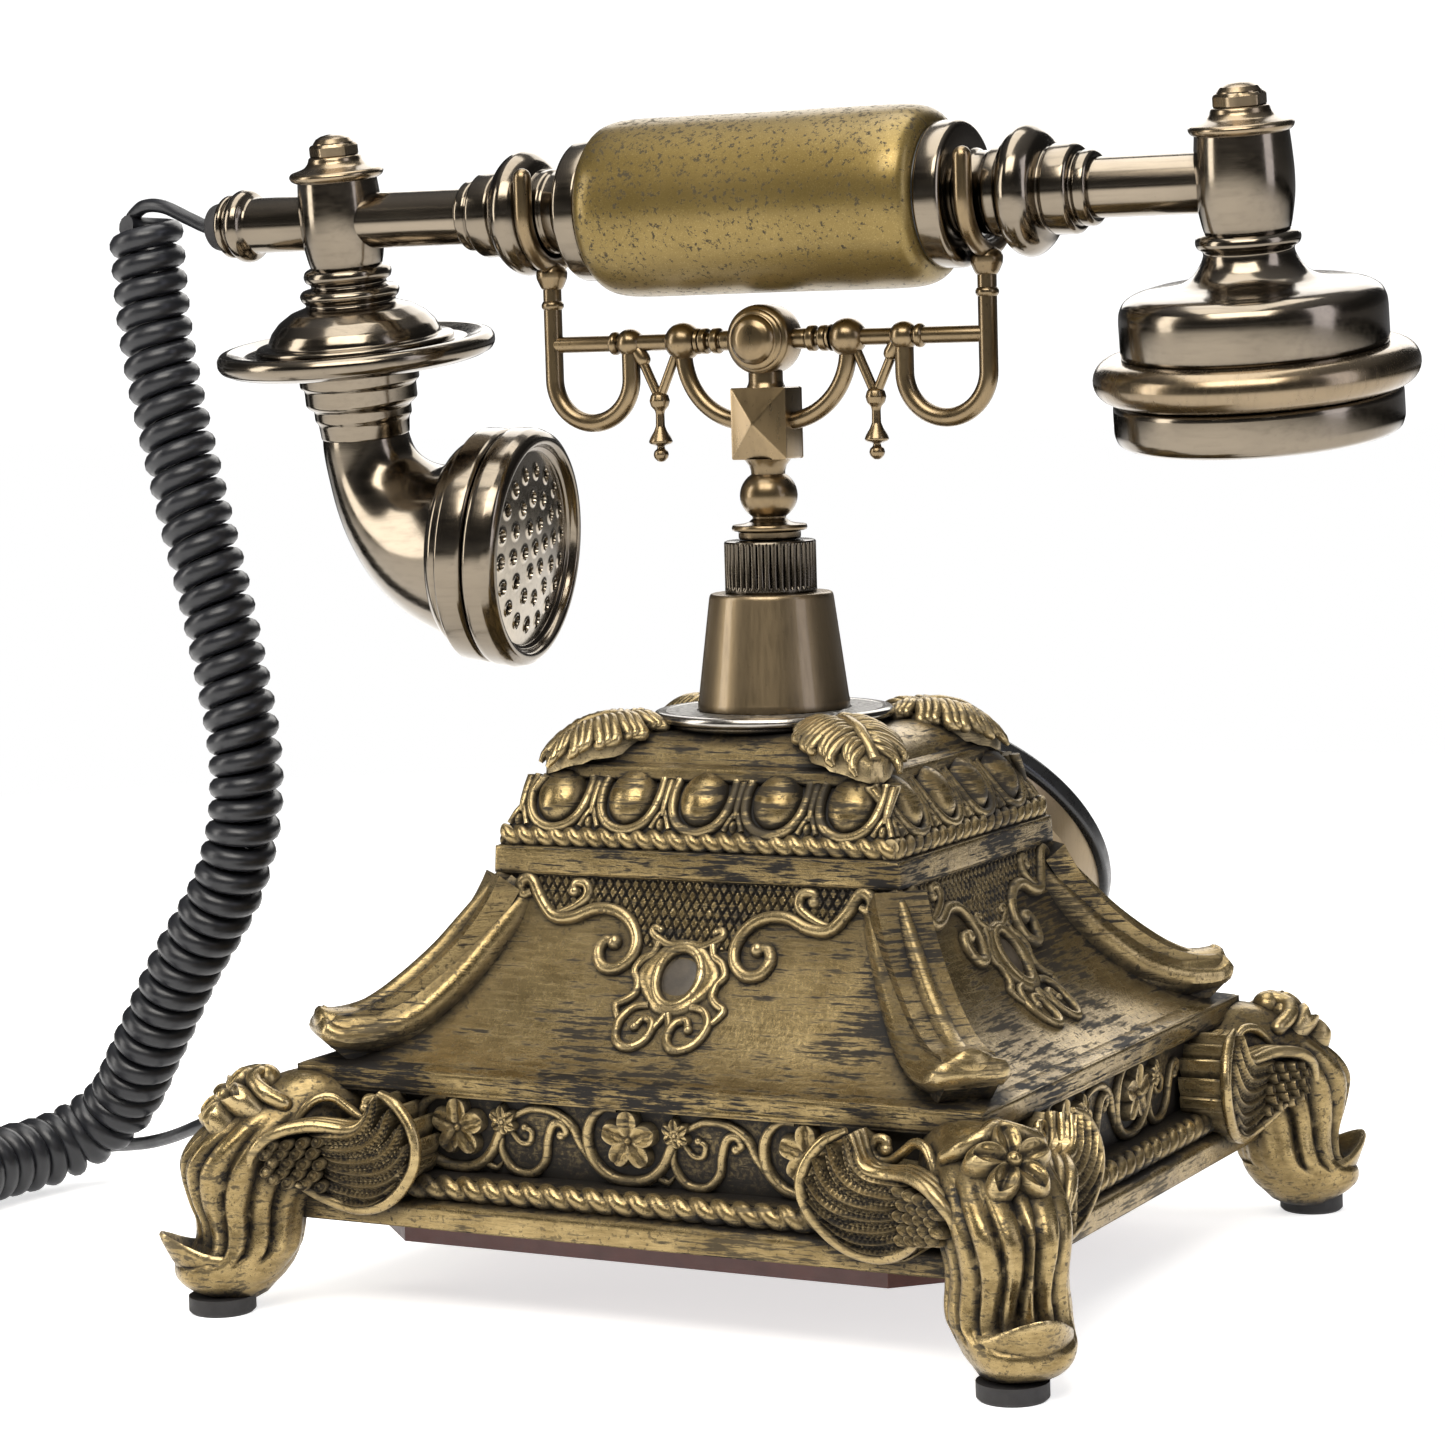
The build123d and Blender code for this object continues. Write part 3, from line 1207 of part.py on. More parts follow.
with BuildPart() as ear_cap:
    turned(
        [
            (0, -42.6), (0, -44.4), (14, -44.9), (18, -46.2), (24.4, -46.4), (26.0, -45.2),
            (26.2, -43.6), (26.2, -38.5), (25.6, -38.0), (23.0, -38.0), (23.0, -42.0), (16, -42.6),
        ],
        ear_plane,
    )
    hole_plane = Plane(
        origin=ear_plane.from_local_coords((0, -41, 0)), x_dir=(1, 0, 0),
        z_dir=ear_plane.y_dir * -1,
    )
    with BuildSketch(hole_plane):
        Circle(1.1)
        for ring, count in ((4.5, 6), (9.0, 12)):
            with PolarLocations(ring, count):
                Circle(1.1)
    extrude(amount=6.0, mode=Mode.SUBTRACT)
ear_cap.part.label = "ear_cap"
export_step(ear_cap.part, "parts/ear_cap.step")

with BuildPart() as receiver:
    turned(
        [(0, -27), (9, -27), (9, -31), (19.4, -31), (19.4, -37.4), (0, -37.4)], ear_plane
    )
receiver.part.label = "receiver"
export_step(receiver.part, "parts/receiver.step")

# ================================================================= cord
GROMMET_END = HANDSET_MID_X + END_RING + 8.8
COIL_START = (143.5, 0.0, 206.0)
with BuildPart() as cord_tail:
    with BuildLine() as tail_line:
        Line((HANDSET_MID_X + END_RING - 1, 0, HANDSET_Z), (GROMMET_END + 1, 0, HANDSET_Z))
        Spline(
            (GROMMET_END + 1, 0, HANDSET_Z), (COIL_START[0] - 6.0, 0, HANDSET_Z + 4.2),
            (COIL_START[0] + 1.0, 0, HANDSET_Z + 3.4), tangents=((1, 0, 0), (0.5, 0, -1)), tangent_scalars=(1.0, 1.0),
        )
    rod_along(tail_line.line, TAIL_RADIUS)
cord_tail.part.label = "cord_tail"
export_step(cord_tail.part, "parts/cord_tail.step")

COIL_PATH = [
    COIL_START, (141.5, 0.0, 180.0), (135.5, 0.0, 152.0), (128.0, 0.0, 121.0),
    (123.6, 0.0, 92.0), (128.4, 0.0, 70.0), (142.0, -1.0, 50.0), (153.5, -3.0, 32.5),
    (165.0, -6.0, 17.5), (175.5, 1.0, 9.6), (180.0, 22.0, 8.5), (178.0, 58.0, 8.5),
]
CABLE_PATH = [
    (177.4, 62.0, 8.4), (182.0, 84.0, 5.2), (197.0, 90.0, 3.0), (208.0, 64.0, 2.4),
    (206.0, 10.0, 2.4), (188.0, -22.0, 3.2), (160.0, -12.0, 9.0), (132.0, 6.0, 19.0),
    (104.0, 16.0, 31.0), (80.0, JACK_Y, JACK_Z),
]
with BuildPart() as coil_cord:
    with BuildLine() as coil_axis:
        Spline(*COIL_PATH)
    with BuildSketch(Plane(origin=coil_axis.line @ 0, z_dir=coil_axis.line % 0)):
        Circle(CORD_COIL_RADIUS)
        Circle(CORD_COIL_BORE, mode=Mode.SUBTRACT)
    sweep(path=coil_axis.line)
coil_cord.part.label = "coil_cord"
export_step(coil_cord.part, "parts/coil_cord.step")

with BuildPart() as base_cable:
    with BuildLine() as cable_line:
        Spline(
            *CABLE_PATH, tangents=((0, 1, 0), (-1, 0, 0)), tangent_scalars=(1.0, 1.0)
        )
        Line(CABLE_PATH[-1], (70.0, JACK_Y, JACK_Z))
    rod_along(cable_line.line, TAIL_RADIUS)
base_cable.part.label = "base_cable"
export_step(base_cable.part, "parts/base_cable.step")
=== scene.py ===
import json
import math

import bmesh
import bpy
import numpy as np
from mathutils import Matrix, Vector

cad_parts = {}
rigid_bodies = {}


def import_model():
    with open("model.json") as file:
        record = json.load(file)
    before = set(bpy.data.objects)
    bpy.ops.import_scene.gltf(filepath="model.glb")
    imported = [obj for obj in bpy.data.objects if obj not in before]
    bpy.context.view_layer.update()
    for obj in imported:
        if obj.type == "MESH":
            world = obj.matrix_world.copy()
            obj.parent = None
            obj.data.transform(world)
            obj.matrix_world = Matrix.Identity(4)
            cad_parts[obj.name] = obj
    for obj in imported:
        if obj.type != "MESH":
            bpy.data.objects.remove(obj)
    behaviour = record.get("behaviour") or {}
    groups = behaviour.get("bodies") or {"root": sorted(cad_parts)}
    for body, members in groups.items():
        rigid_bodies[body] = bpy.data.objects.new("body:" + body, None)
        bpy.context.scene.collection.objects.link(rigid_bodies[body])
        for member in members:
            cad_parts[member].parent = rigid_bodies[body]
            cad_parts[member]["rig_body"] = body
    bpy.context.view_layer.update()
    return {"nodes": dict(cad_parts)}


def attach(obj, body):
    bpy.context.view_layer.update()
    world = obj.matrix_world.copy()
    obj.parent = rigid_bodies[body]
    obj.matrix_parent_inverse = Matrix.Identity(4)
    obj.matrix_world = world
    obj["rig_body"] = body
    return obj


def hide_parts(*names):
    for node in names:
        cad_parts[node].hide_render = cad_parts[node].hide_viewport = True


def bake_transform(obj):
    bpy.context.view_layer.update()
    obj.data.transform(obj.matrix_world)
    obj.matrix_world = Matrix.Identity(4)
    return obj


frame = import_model()

# Shapes are laid out in millimetres in the row frame and scaled to metres once, in piece().
# Materials, the cord's end points, lights and the camera are in metres.
MM = 0.001
X, Y, Z = np.eye(3)
CORNERS = ((1, 1), (-1, 1), (-1, -1), (1, -1))


def unit(vector):
    vector = np.asarray(vector, float)
    return vector / np.linalg.norm(vector)


def turn(degrees):
    angle = math.radians(degrees)
    return math.cos(angle), math.sin(angle)


# ------------------------------------------------------------------ mesh helpers
def soften(points, radius, closed=False, steps=3):
    """Rounds the corners of an outline with short curves."""
    points = [np.array(p, float) for p in points]
    count, out = len(points), []
    for i, p in enumerate(points):
        if not closed and i in (0, count - 1):
            out.append(p)
            continue
        a, b = points[i - 1] - p, points[(i + 1) % count] - p
        la, lb = np.linalg.norm(a), np.linalg.norm(b)
        if la < 1e-9 or lb < 1e-9:
            continue
        if -(a @ b) / (la * lb) > 0.985:
            out.append(p)
            continue
        p0 = p + a / la * min(radius, 0.42 * la)
        p1 = p + b / lb * min(radius, 0.42 * lb)
        for k in range(steps + 1):
            u = k / steps
            out.append((1 - u) ** 2 * p0 + 2 * u * (1 - u) * p + u * u * p1)
    return np.array(out)


def smooth_curve(points, per_span=8, closed=False):
    """Catmull-Rom curve through points of any dimension."""
    points = np.array(points, float)
    count = len(points)
    out = []
    spans = count if closed else count - 1
    for i in range(spans):
        if closed:
            p0, p1, p2, p3 = (points[(i + k) % count] for k in (-1, 0, 1, 2))
        else:
            p1, p2 = points[i], points[i + 1]
            p0 = points[i - 1] if i else 2 * p1 - p2
            p3 = points[i + 2] if i + 2 < count else 2 * p2 - p1
        for k in range(per_span):
            u = k / per_span
            out.append(
                0.5 * (2 * p1 + (p2 - p0) * u + (2 * p0 - 5 * p1 + 4 * p2 - p3) * u * u
                       + (3 * p1 - p0 - 3 * p2 + p3) * u ** 3)
            )
    if not closed:
        out.append(points[-1])
    return np.array(out)


def skin(rows, loop=True, ring=False):
    """Quads over an array of rows x columns x 3.  loop closes the columns, ring the rows;
    a looped skin that is not a ring gets a face over each end."""
    rows = np.asarray(rows, float)
    n, m = rows.shape[:2]
    index = np.arange(n * m).reshape(n, m)
    low = index if ring else index[:-1]
    high = np.roll(index, -1, 0) if ring else index[1:]
    if loop:
        quads = np.stack([low, np.roll(low, -1, 1), np.roll(high, -1, 1), high], -1)
    else:
        quads = np.stack([low[:, :-1], low[:, 1:], high[:, 1:], high[:, :-1]], -1)
    faces = quads.reshape(-1, 4).tolist()
    if loop and not ring:
        faces += [index[0].tolist(), index[-1][::-1].tolist()]
    return rows.reshape(-1, 3), faces


def slab(front, back):
    """Closed solid between two grids of the same size."""
    n, m = front.shape[:2]
    verts = np.concatenate([front.reshape(-1, 3), back.reshape(-1, 3)])
    a = np.arange(n * m).reshape(n, m)
    b = a + n * m
    quads = [
        np.stack([a[:-1, :-1], a[:-1, 1:], a[1:, 1:], a[1:, :-1]], -1).reshape(-1, 4),
        np.stack([b[:-1, :-1], b[1:, :-1], b[1:, 1:], b[:-1, 1:]], -1).reshape(-1, 4),
    ]
    for i, flip in ((0, False), (-1, True)):
        edge = np.stack([a[i, :-1], b[i, :-1], b[i, 1:], a[i, 1:]], -1)
        quads.append(edge[:, ::-1] if flip else edge)
        edge = np.stack([a[:-1, i], a[1:, i], b[1:, i], b[:-1, i]], -1)
        quads.append(edge[:, ::-1] if flip else edge)
    return verts, np.concatenate(quads).tolist()


def lathe(profile, place, count=96, ring=False, wave=None):
    """Turns (radius, height) points about the third axis of place = (origin, x, y, z)."""
    origin, ex, ey, ez = (np.asarray(v, float) for v in place)
    profile = np.asarray(profile, float)
    angle = 2 * math.pi * np.arange(count) / count
    radius = profile[:, 0][:, None] * np.ones(count)
    if wave is not None:
        radius = wave(radius, profile[:, 1][:, None], angle[None, :])
    rows = (origin + (radius * np.cos(angle))[..., None] * ex
            + (radius * np.sin(angle))[..., None] * ey
            + profile[:, 1][:, None, None] * ez)
    return skin(rows, ring=ring)


def sweep(path, radius, sides=12, closed=False):
    """Round rod along a path, with frames carried along it."""
    path = np.asarray(path, float)
    n = len(path)
    tangents = np.gradient(path, axis=0)
    if closed:
        tangents = np.roll(path, -1, 0) - np.roll(path, 1, 0)
    tangents /= np.linalg.norm(tangents, axis=1)[:, None]
    radius = np.broadcast_to(np.asarray(radius, float), (n,))
    side = np.cross(tangents[0], [0.31, 0.22, 0.93])
    side = unit(side)
    angle = 2 * math.pi * np.arange(sides) / sides
    circle = np.stack([np.cos(angle), np.sin(angle)], 1)
    rows = []
    for i in range(n):
        side = side - tangents[i] * (side @ tangents[i])
        side = unit(side)
        up = np.cross(tangents[i], side)
        rows.append(path[i] + radius[i] * (circle[:, :1] * side + circle[:, 1:] * up))
    return skin(np.array(rows), ring=closed)


def rounded_rod(path, radius, sides=14):
    """Rod with domed ends."""
    path = np.asarray(path, float)
    n = len(path)
    start, end = unit(path[0] - path[1]), unit(path[-1] - path[-2])
    cap = [(0.5, 0.86), (0.8, 0.6), (0.95, 0.3), (1.0, 0.02)]
    head = [path[0] + start * radius * a for a, _ in reversed(cap)]
    tail = [path[-1] + end * radius * a for a, _ in cap]
    full = np.array(head + list(path) + tail)
    radii = np.concatenate([
        [radius * b for _, b in reversed(cap)], np.full(n, radius), [radius * b for _, b in cap]
    ])
    return sweep(full, radii, sides)


def ball(centre, radius, count=32, axis=Z):
    angle = np.linspace(-math.pi / 2, math.pi / 2, count // 2 + 1)
    profile = np.stack([radius * np.cos(angle), radius * np.sin(angle)], 1)
    profile[0, 0] = profile[-1, 0] = 0
    other = unit(np.cross(axis, [0.3, 0.9, 0.2]))
    return lathe(profile, (centre, other, np.cross(axis, other), axis), count)


def mirrored(part, axis):
    verts, faces = part
    verts = np.array(verts)
    verts[:, axis] *= -1
    return verts, [f[::-1] for f in faces]


def piece(name, parts, material, body, replaces=(), sharp=38.0):
    """Joins parts into one closed mesh piece, smooth except across sharp edges."""
    verts, faces, count = [], [], 0
    for part_verts, part_faces in parts:
        verts.append(np.asarray(part_verts, float))
        faces += [[i + count for i in face] for face in part_faces]
        count += len(part_verts)
    mesh = bpy.data.meshes.new(name)
    mesh.from_pydata(np.concatenate(verts) * MM, [], faces)
    edit = bmesh.new()
    edit.from_mesh(mesh)
    bmesh.ops.remove_doubles(edit, verts=edit.verts, dist=2e-7)
    bmesh.ops.dissolve_degenerate(edit, edges=edit.edges, dist=1e-8)
    bmesh.ops.recalc_face_normals(edit, faces=edit.faces)
    edit.to_mesh(mesh)
    edit.free()
    mesh.shade_smooth()
    mesh.set_sharp_from_angle(angle=math.radians(sharp))
    mesh.materials.append(material)
    obj = bpy.data.objects.new(name, mesh)
    bpy.context.scene.collection.objects.link(obj)
    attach(obj, body)
    if replaces:
        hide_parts(*replaces)
    return obj


def golden(name, parts, finish, replaces=(), sharp=38.0):
    """Gilded piece of the base."""
    return piece(name, parts, finish, "base", replaces, sharp)


def held(name, parts, finish, replaces=(), sharp=38.0):
    """Plated piece of the handset."""
    return piece(name, parts, finish, "handset", replaces, sharp)


# ------------------------------------------------------------------ material helpers
class Graph:
    """A node material written as calls; inputs are given by name."""

    def __init__(self, name):
        self.material = bpy.data.materials.new(name)
        self.material.use_nodes = True
        self.tree = self.material.node_tree
        self.surface = self.tree.nodes["Principled BSDF"]
        self.coords = self.node("TexCoord").outputs["Object"]

    def node(self, kind, settings=None, **inputs):
        made = self.tree.nodes.new("ShaderNode" + kind)
        for key, value in (settings or {}).items():
            setattr(made, key, value)
        for key, value in inputs.items():
            self.set(made, key.replace("_", " "), value)
        return made

    def set(self, node, key, value):
        socket = node.inputs[int(key[1:])] if key[0] == "i" and key[1:].isdigit() else node.inputs[key]
        if isinstance(value, bpy.types.NodeSocket):
            self.tree.links.new(value, socket)
        elif socket.type == "RGBA" and len(value) == 3:
            socket.default_value = (*value, 1)
        else:
            socket.default_value = value

    def put(self, **inputs):
        for key, value in inputs.items():
            self.set(self.surface, key.replace("_", " "), value)

    def scaled(self, scale):
        return self.node("Mapping", Vector=self.coords, Scale=scale).outputs["Vector"]

    def noise(self, scale, detail=3.0, rough=0.55, source=None):
        made = self.node("TexNoise", Vector=source or self.coords, Scale=scale, Detail=detail,
                         Roughness=rough)
        return made.outputs["Fac"]

    def ramp(self, value, low, high, out_low=0.0, out_high=1.0):
        made = self.node("MapRange", {"clamp": True}, Value=value)
        for key, number in (("From Min", low), ("From Max", high), ("To Min", out_low),
                            ("To Max", out_high)):
            made.inputs[key].default_value = number
        return made.outputs["Result"]

    def math(self, operation, a, b=0.5):
        made = self.node("Math", {"operation": operation, "use_clamp": False}, i0=a, i1=b)
        return made.outputs[0]

    def mix(self, factor, a, b):
        made = self.node("Mix", {"data_type": "RGBA"})
        self.set(made, "i0", factor)
        self.set(made, "i6", a)
        self.set(made, "i7", b)
        return made.outputs[2]

    def blend_numbers(self, factor, a, b):
        made = self.node("Mix", {"data_type": "FLOAT"})
        self.set(made, "i0", factor)
        self.set(made, "i2", a)
        self.set(made, "i3", b)
        return made.outputs[0]

    def bump(self, height, strength, distance):
        made = self.node("Bump", Height=height, Strength=strength, Distance=distance)
        return made.outputs["Normal"]

    def cavity(self, distance, low=0.45, high=0.93):
        """1 in recesses, 0 on open surface."""
        made = self.node("AmbientOcclusion", {"samples": 6}, Distance=distance)
        return self.ramp(made.outputs["AO"], low, high, 1.0, 0.0)


def antique_gold(name, streak=(70, 70, 620), wash=0.55, deep=0.0045, grounds=(), wear=1.0):
    """Gold paint dry-brushed over black-brown; recesses are darkened by an occlusion mask, partly the black
    wash of the paint and partly painted shade.

    grounds are (low, high, amount): bands of height whose flat ground is stippled black;
    wear is how much the paint is rubbed bright on the edges; the brightened edges are also a painted
    highlight.
    """
    g = Graph(name)
    fine = g.noise(1.0, 6, 0.7, g.scaled(streak))
    patch = g.noise(38, 5, 0.65)
    speck = g.noise(900, 3, 0.7)
    grain = g.noise(1.0, 4, 0.6, g.scaled((900, 900, 900)))
    tone = g.math("ADD", g.math("MULTIPLY", g.ramp(g.noise(120, 4, 0.6), 0.3, 0.72), 0.5),
                  g.math("MULTIPLY", g.ramp(fine, 0.36, 0.62), 0.5))
    gold = g.mix(tone, (0.145, 0.100, 0.040), (0.44, 0.33, 0.155))
    stained = g.math("ADD", g.math("MULTIPLY", fine, 0.75), g.math("MULTIPLY", patch, 0.55))
    stain = g.ramp(stained, 0.76 - 0.14 * wash, 0.82 - 0.13 * wash)
    flecks = g.ramp(speck, 0.58, 0.64)
    stain = g.math("MAXIMUM", g.math("MULTIPLY", stain, min(1.0, wash + 0.2)),
                   g.math("MULTIPLY", flecks, 0.55))
    place = g.node("NewGeometry").outputs["Position"]
    height = g.node("SeparateXYZ", Vector=place).outputs["Z"]
    for low, high, amount in grounds:
        band = g.math("MULTIPLY", g.ramp(height, low, low + 0.0008),
                      g.ramp(height, high - 0.0008, high, 1.0, 0.0))
        grit = g.ramp(g.noise(1100, 3, 0.6), 0.42, 0.60, 1.0, 0.35)
        stain = g.math("MAXIMUM", stain, g.math("MULTIPLY", g.math("MULTIPLY", band, grit), amount))
    # painted shade: an occlusion mask darkens every recess, on top of the black wash of the finish
    wash_and_recess_shade = g.cavity(deep, 0.62, 0.96)
    wash_and_recess_shade = g.math("MULTIPLY", wash_and_recess_shade, g.ramp(g.noise(420, 3, 0.7), 0.25, 0.6, 0.72, 1.0))
    dark = g.math("MINIMUM", g.math("ADD", stain, wash_and_recess_shade), 1.0)
    # edges rubbed bright; this paler edge colour is also a painted highlight
    worn = g.ramp(g.node("NewGeometry").outputs["Pointiness"], 0.53, 0.64, 0.0, wear)
    dark = g.math("MULTIPLY", dark, g.math("SUBTRACT", 1.0, g.math("MULTIPLY", worn, 0.22)))
    rubbed_gold_and_highlight = g.mix(g.math("MULTIPLY", worn, 0.75), gold, (0.78, 0.62, 0.35))
    colour = g.mix(dark, rubbed_gold_and_highlight, (0.012, 0.010, 0.008))
    g.put(Base_Color=colour, Metallic=g.blend_numbers(dark, 0.88, 0.15),
          Roughness=g.blend_numbers(dark, g.ramp(patch, 0.3, 0.7, 0.20, 0.32), 0.6),
          Specular_IOR_Level=0.25,
          Normal=g.bump(g.math("ADD", g.math("MULTIPLY", fine, 0.8), grain), 0.32, 0.00022))
    return g.material


def plating(name, colour, dark, rough=0.16, brushed=0.5, axis_scale=(900, 40, 900), speck=0.15,
            cavity=0.0018):
    """Lacquered antique plating: brushed lines, painted shade in the corners, fine pits."""
    g = Graph(name)
    lines = g.noise(1.0, 4, 0.6, g.scaled(axis_scale))
    cloud = g.noise(55, 3, 0.5)
    pits = g.ramp(g.noise(1500, 2, 0.7), 0.66, 0.72)
    # painted shade: an occlusion mask darkens the corners
    corner = g.cavity(cavity, 0.3, 0.85)
    toning_and_corner_shade = g.math("ADD", g.math("MULTIPLY", corner, 0.85), g.math("MULTIPLY", pits, speck))
    toning_and_corner_shade = g.math("ADD", toning_and_corner_shade, g.ramp(cloud, 0.45, 0.75, 0.0, 0.22))
    toning_and_corner_shade = g.math("MINIMUM", g.math("ADD", toning_and_corner_shade, g.ramp(lines, 0.5, 0.8, 0.0, 0.18)), 1.0)
    worn = g.ramp(g.node("NewGeometry").outputs["Pointiness"], 0.52, 0.60)
    base = g.mix(g.math("MULTIPLY", worn, 0.45), colour, [min(1.0, c * 1.5) for c in colour])
    g.put(Base_Color=g.mix(toning_and_corner_shade, base, dark), Metallic=1.0,
          Roughness=g.ramp(lines, 0.25, 0.75, rough, rough + 0.1), Coat_Weight=0.35,
          Coat_Roughness=0.08,
          Normal=g.bump(lines, brushed * 0.35, 0.00004))
    return g.material


def plastic(name, colour, rough=0.4, mottled=1.4, bump=0.15):
    g = Graph(name)
    cloud = g.noise(160, 4, 0.6)
    grain = g.noise(2400, 2, 0.6)
    g.put(Base_Color=g.mix(g.ramp(cloud, 0.3, 0.7), colour, [min(1, c * mottled) for c in colour]),
          Roughness=g.ramp(g.noise(420, 3, 0.6), 0.3, 0.7, rough - 0.06, rough + 0.08),
          Specular_IOR_Level=0.5,
          Normal=g.bump(g.math("ADD", grain, cloud), bump, 0.00006))
    return g.material


def steel(name, colour, rough=0.3):
    g = Graph(name)
    lines = g.noise(1.0, 3, 0.6, g.scaled((60, 1400, 1400)))
    cloud = g.noise(140, 4, 0.6)
    g.put(Base_Color=g.mix(g.ramp(cloud, 0.3, 0.75), colour, [c * 0.62 for c in colour]),
          Metallic=1.0, Roughness=g.ramp(lines, 0.3, 0.7, rough, rough + 0.15),
          Normal=g.bump(lines, 0.12, 0.00005))
    return g.material


def grip_gold(name):
    """Metallic olive-gold paint with black spatter, denser towards the cord end and the top."""
    g = Graph(name)
    split = g.node("SeparateXYZ", Vector=g.coords)
    dense = g.ramp(split.outputs["X"], -0.03, 0.035)
    top = g.ramp(split.outputs["Z"], 0.198, 0.219)
    dense = g.math("ADD", g.math("MULTIPLY", dense, 0.6), g.math("MULTIPLY", top, 0.55))
    spots = g.noise(900, 4, 0.75)
    clumps = g.noise(90, 3, 0.6)
    level = g.math("ADD", spots, g.math("MULTIPLY", dense, g.ramp(clumps, 0.25, 0.75, 0.0, 0.11)))
    black = g.ramp(level, 0.585, 0.625)
    shade = g.ramp(g.noise(45, 4, 0.6), 0.3, 0.7)
    gold = g.mix(shade, (0.165, 0.115, 0.033), (0.225, 0.160, 0.052))
    flake = g.ramp(g.noise(3800, 1, 0.5), 0.55, 0.75)
    gold = g.mix(g.math("MULTIPLY", flake, 0.35), gold, (0.42, 0.32, 0.13))
    g.put(Base_Color=g.mix(g.math("MULTIPLY", black, 0.86), gold, (0.022, 0.018, 0.012)),
          Metallic=g.blend_numbers(black, 0.78, 0.1),
          Roughness=g.blend_numbers(black, 0.36, 0.6), Specular_IOR_Level=0.25,
          Coat_Weight=g.blend_numbers(black, 0.22, 0.0), Coat_Roughness=0.18,
          Normal=g.bump(level, 0.10, 0.0001))
    return g.material


GUNMETAL = plating("gunmetal_plating", (0.20, 0.166, 0.122), (0.028, 0.020, 0.013), 0.12, 0.5,
                   (60, 900, 900))
RIM_BRONZE = plating("rim_bronze", (0.24, 0.182, 0.112), (0.045, 0.031, 0.017), 0.2, 0.6,
                     (700, 700, 120))
BRASS = plating("antique_brass", (0.205, 0.147, 0.077), (0.026, 0.018, 0.010), 0.25, 0.5,
                (500, 500, 90), 0.35, 0.0025)
CUP_BRONZE = plating("cup_bronze", (0.24, 0.18, 0.105), (0.07, 0.05, 0.028), 0.33, 1.2,
                     (1300, 1300, 24), 0.2)
COLLAR_BLACK = plating("black_bronze", (0.10, 0.082, 0.058), (0.012, 0.010, 0.008), 0.2, 0.5)
GRIP = grip_gold("grip_gold")
CORD = plastic("cord_black", (0.0085, 0.009, 0.011), 0.34, 1.5, 0.1)
RUBBER = plastic("pad_rubber", (0.014, 0.013, 0.013), 0.66, 1.8, 0.5)
BLACK = plastic("black_plastic", (0.012, 0.012, 0.012), 0.28, 1.6)
MAROON = plastic("maroon_plate", (0.055, 0.017, 0.014), 0.42, 1.5, 0.4)
STEEL = steel("zinc_steel", (0.52, 0.51, 0.49))
GOLD = antique_gold("antique_gold", wash=0.5, deep=0.0075)
GOLD_LEGS = antique_gold("antique_gold_legs", (300, 300, 900), 0.55, 0.0045)
GOLD_FINE = antique_gold("antique_gold_fine", wash=0.4, deep=0.0022)
GOLD_RELIEF = antique_gold("antique_gold_relief", wash=0.7, deep=0.0085)
GOLD_SMOOTH = antique_gold("antique_gold_smooth", (130, 130, 1500), 0.62, 0.006)
GOLD_WORN = antique_gold("antique_gold_worn", (140, 140, 1600), 0.92, 0.006)
BLACK_WASH = plastic("black_wash", (0.022, 0.017, 0.011), 0.5, 4.0, 0.8)
GOLD_BODY = antique_gold("antique_gold_body", (110, 110, 1500), 0.76, 0.010,
                         ((0.0262, 0.0415, 0.80), (0.0872, 0.0968, 0.8), (0.0760, 0.0790, 0.5)), 0.0)

# ------------------------------------------------------------------ handset
ROLL = 8.0
HANDSET_Z, GRIP_MID = 204.5, -2.0
LEAN_COS, LEAN_SIN = turn(ROLL)
UP = np.array([0, LEAN_SIN, LEAN_COS])
ACROSS = np.array([0, LEAN_COS, -LEAN_SIN])
AXIS = np.array([0, 0, HANDSET_Z])
MOUTH = AXIS + 95 * X
EAR = AXIS - 97 * X
BAR = (AXIS + GRIP_MID * X, ACROSS, UP, X)
MOUTH_PLACE = (MOUTH, X, -ACROSS, UP)
EAR_PLACE = (EAR, X, -ACROSS, UP)


def both_ends(profile, radius, count=96):
    """A turned ring at each end of the handset: (radius, distance from the middle)."""
    parts = []
    for s in (-1, 1):
        shape = soften([(r, s * d) for r, d in profile], radius, closed=True)
        parts.append(lathe(shape, BAR, count, ring=True))
    return parts


grip_half = [(0, 35.5), (11.5, 35.5), (14.2, 35.2), (15.9, 33.9), (16.75, 31.5), (17.05, 27.5),
             (17.1, 20), (17.05, 0)]
grip_profile = np.array(grip_half + [(r, -d) for r, d in grip_half[-2::-1]])
grip_profile = np.concatenate([[grip_profile[0]], smooth_curve(grip_profile[1:-1], 6),
                               [grip_profile[-1]]])
piece("grip_barrel", [lathe(grip_profile, BAR, 128)], GRIP, "handset",
      ["grip", "tie_rod"])
held("ferrule_rings", both_ends(
    [(3, 35.9), (12.4, 35.9), (12.4, 35.6), (13.65, 35.7), (13.65, 40.1), (12.9, 40.8),
     (10.2, 41.1), (3, 41.1)], 0.5, 128), GUNMETAL, ["ferrules"])
piece("ferrule_gap_rings", both_ends(
    [(3, 34.9), (13.2, 34.9), (13.2, 35.75), (3, 35.75)], 0.2, 96), BLACK, "handset")
bead = [(8.3, 49.4), (8.9, 49.7), (10.2, 50.3), (11.4, 51.5), (12.0, 52.7), (12.15, 53.5),
        (12.0, 54.4), (11.4, 55.5), (10.2, 56.7), (8.6, 57.3)]
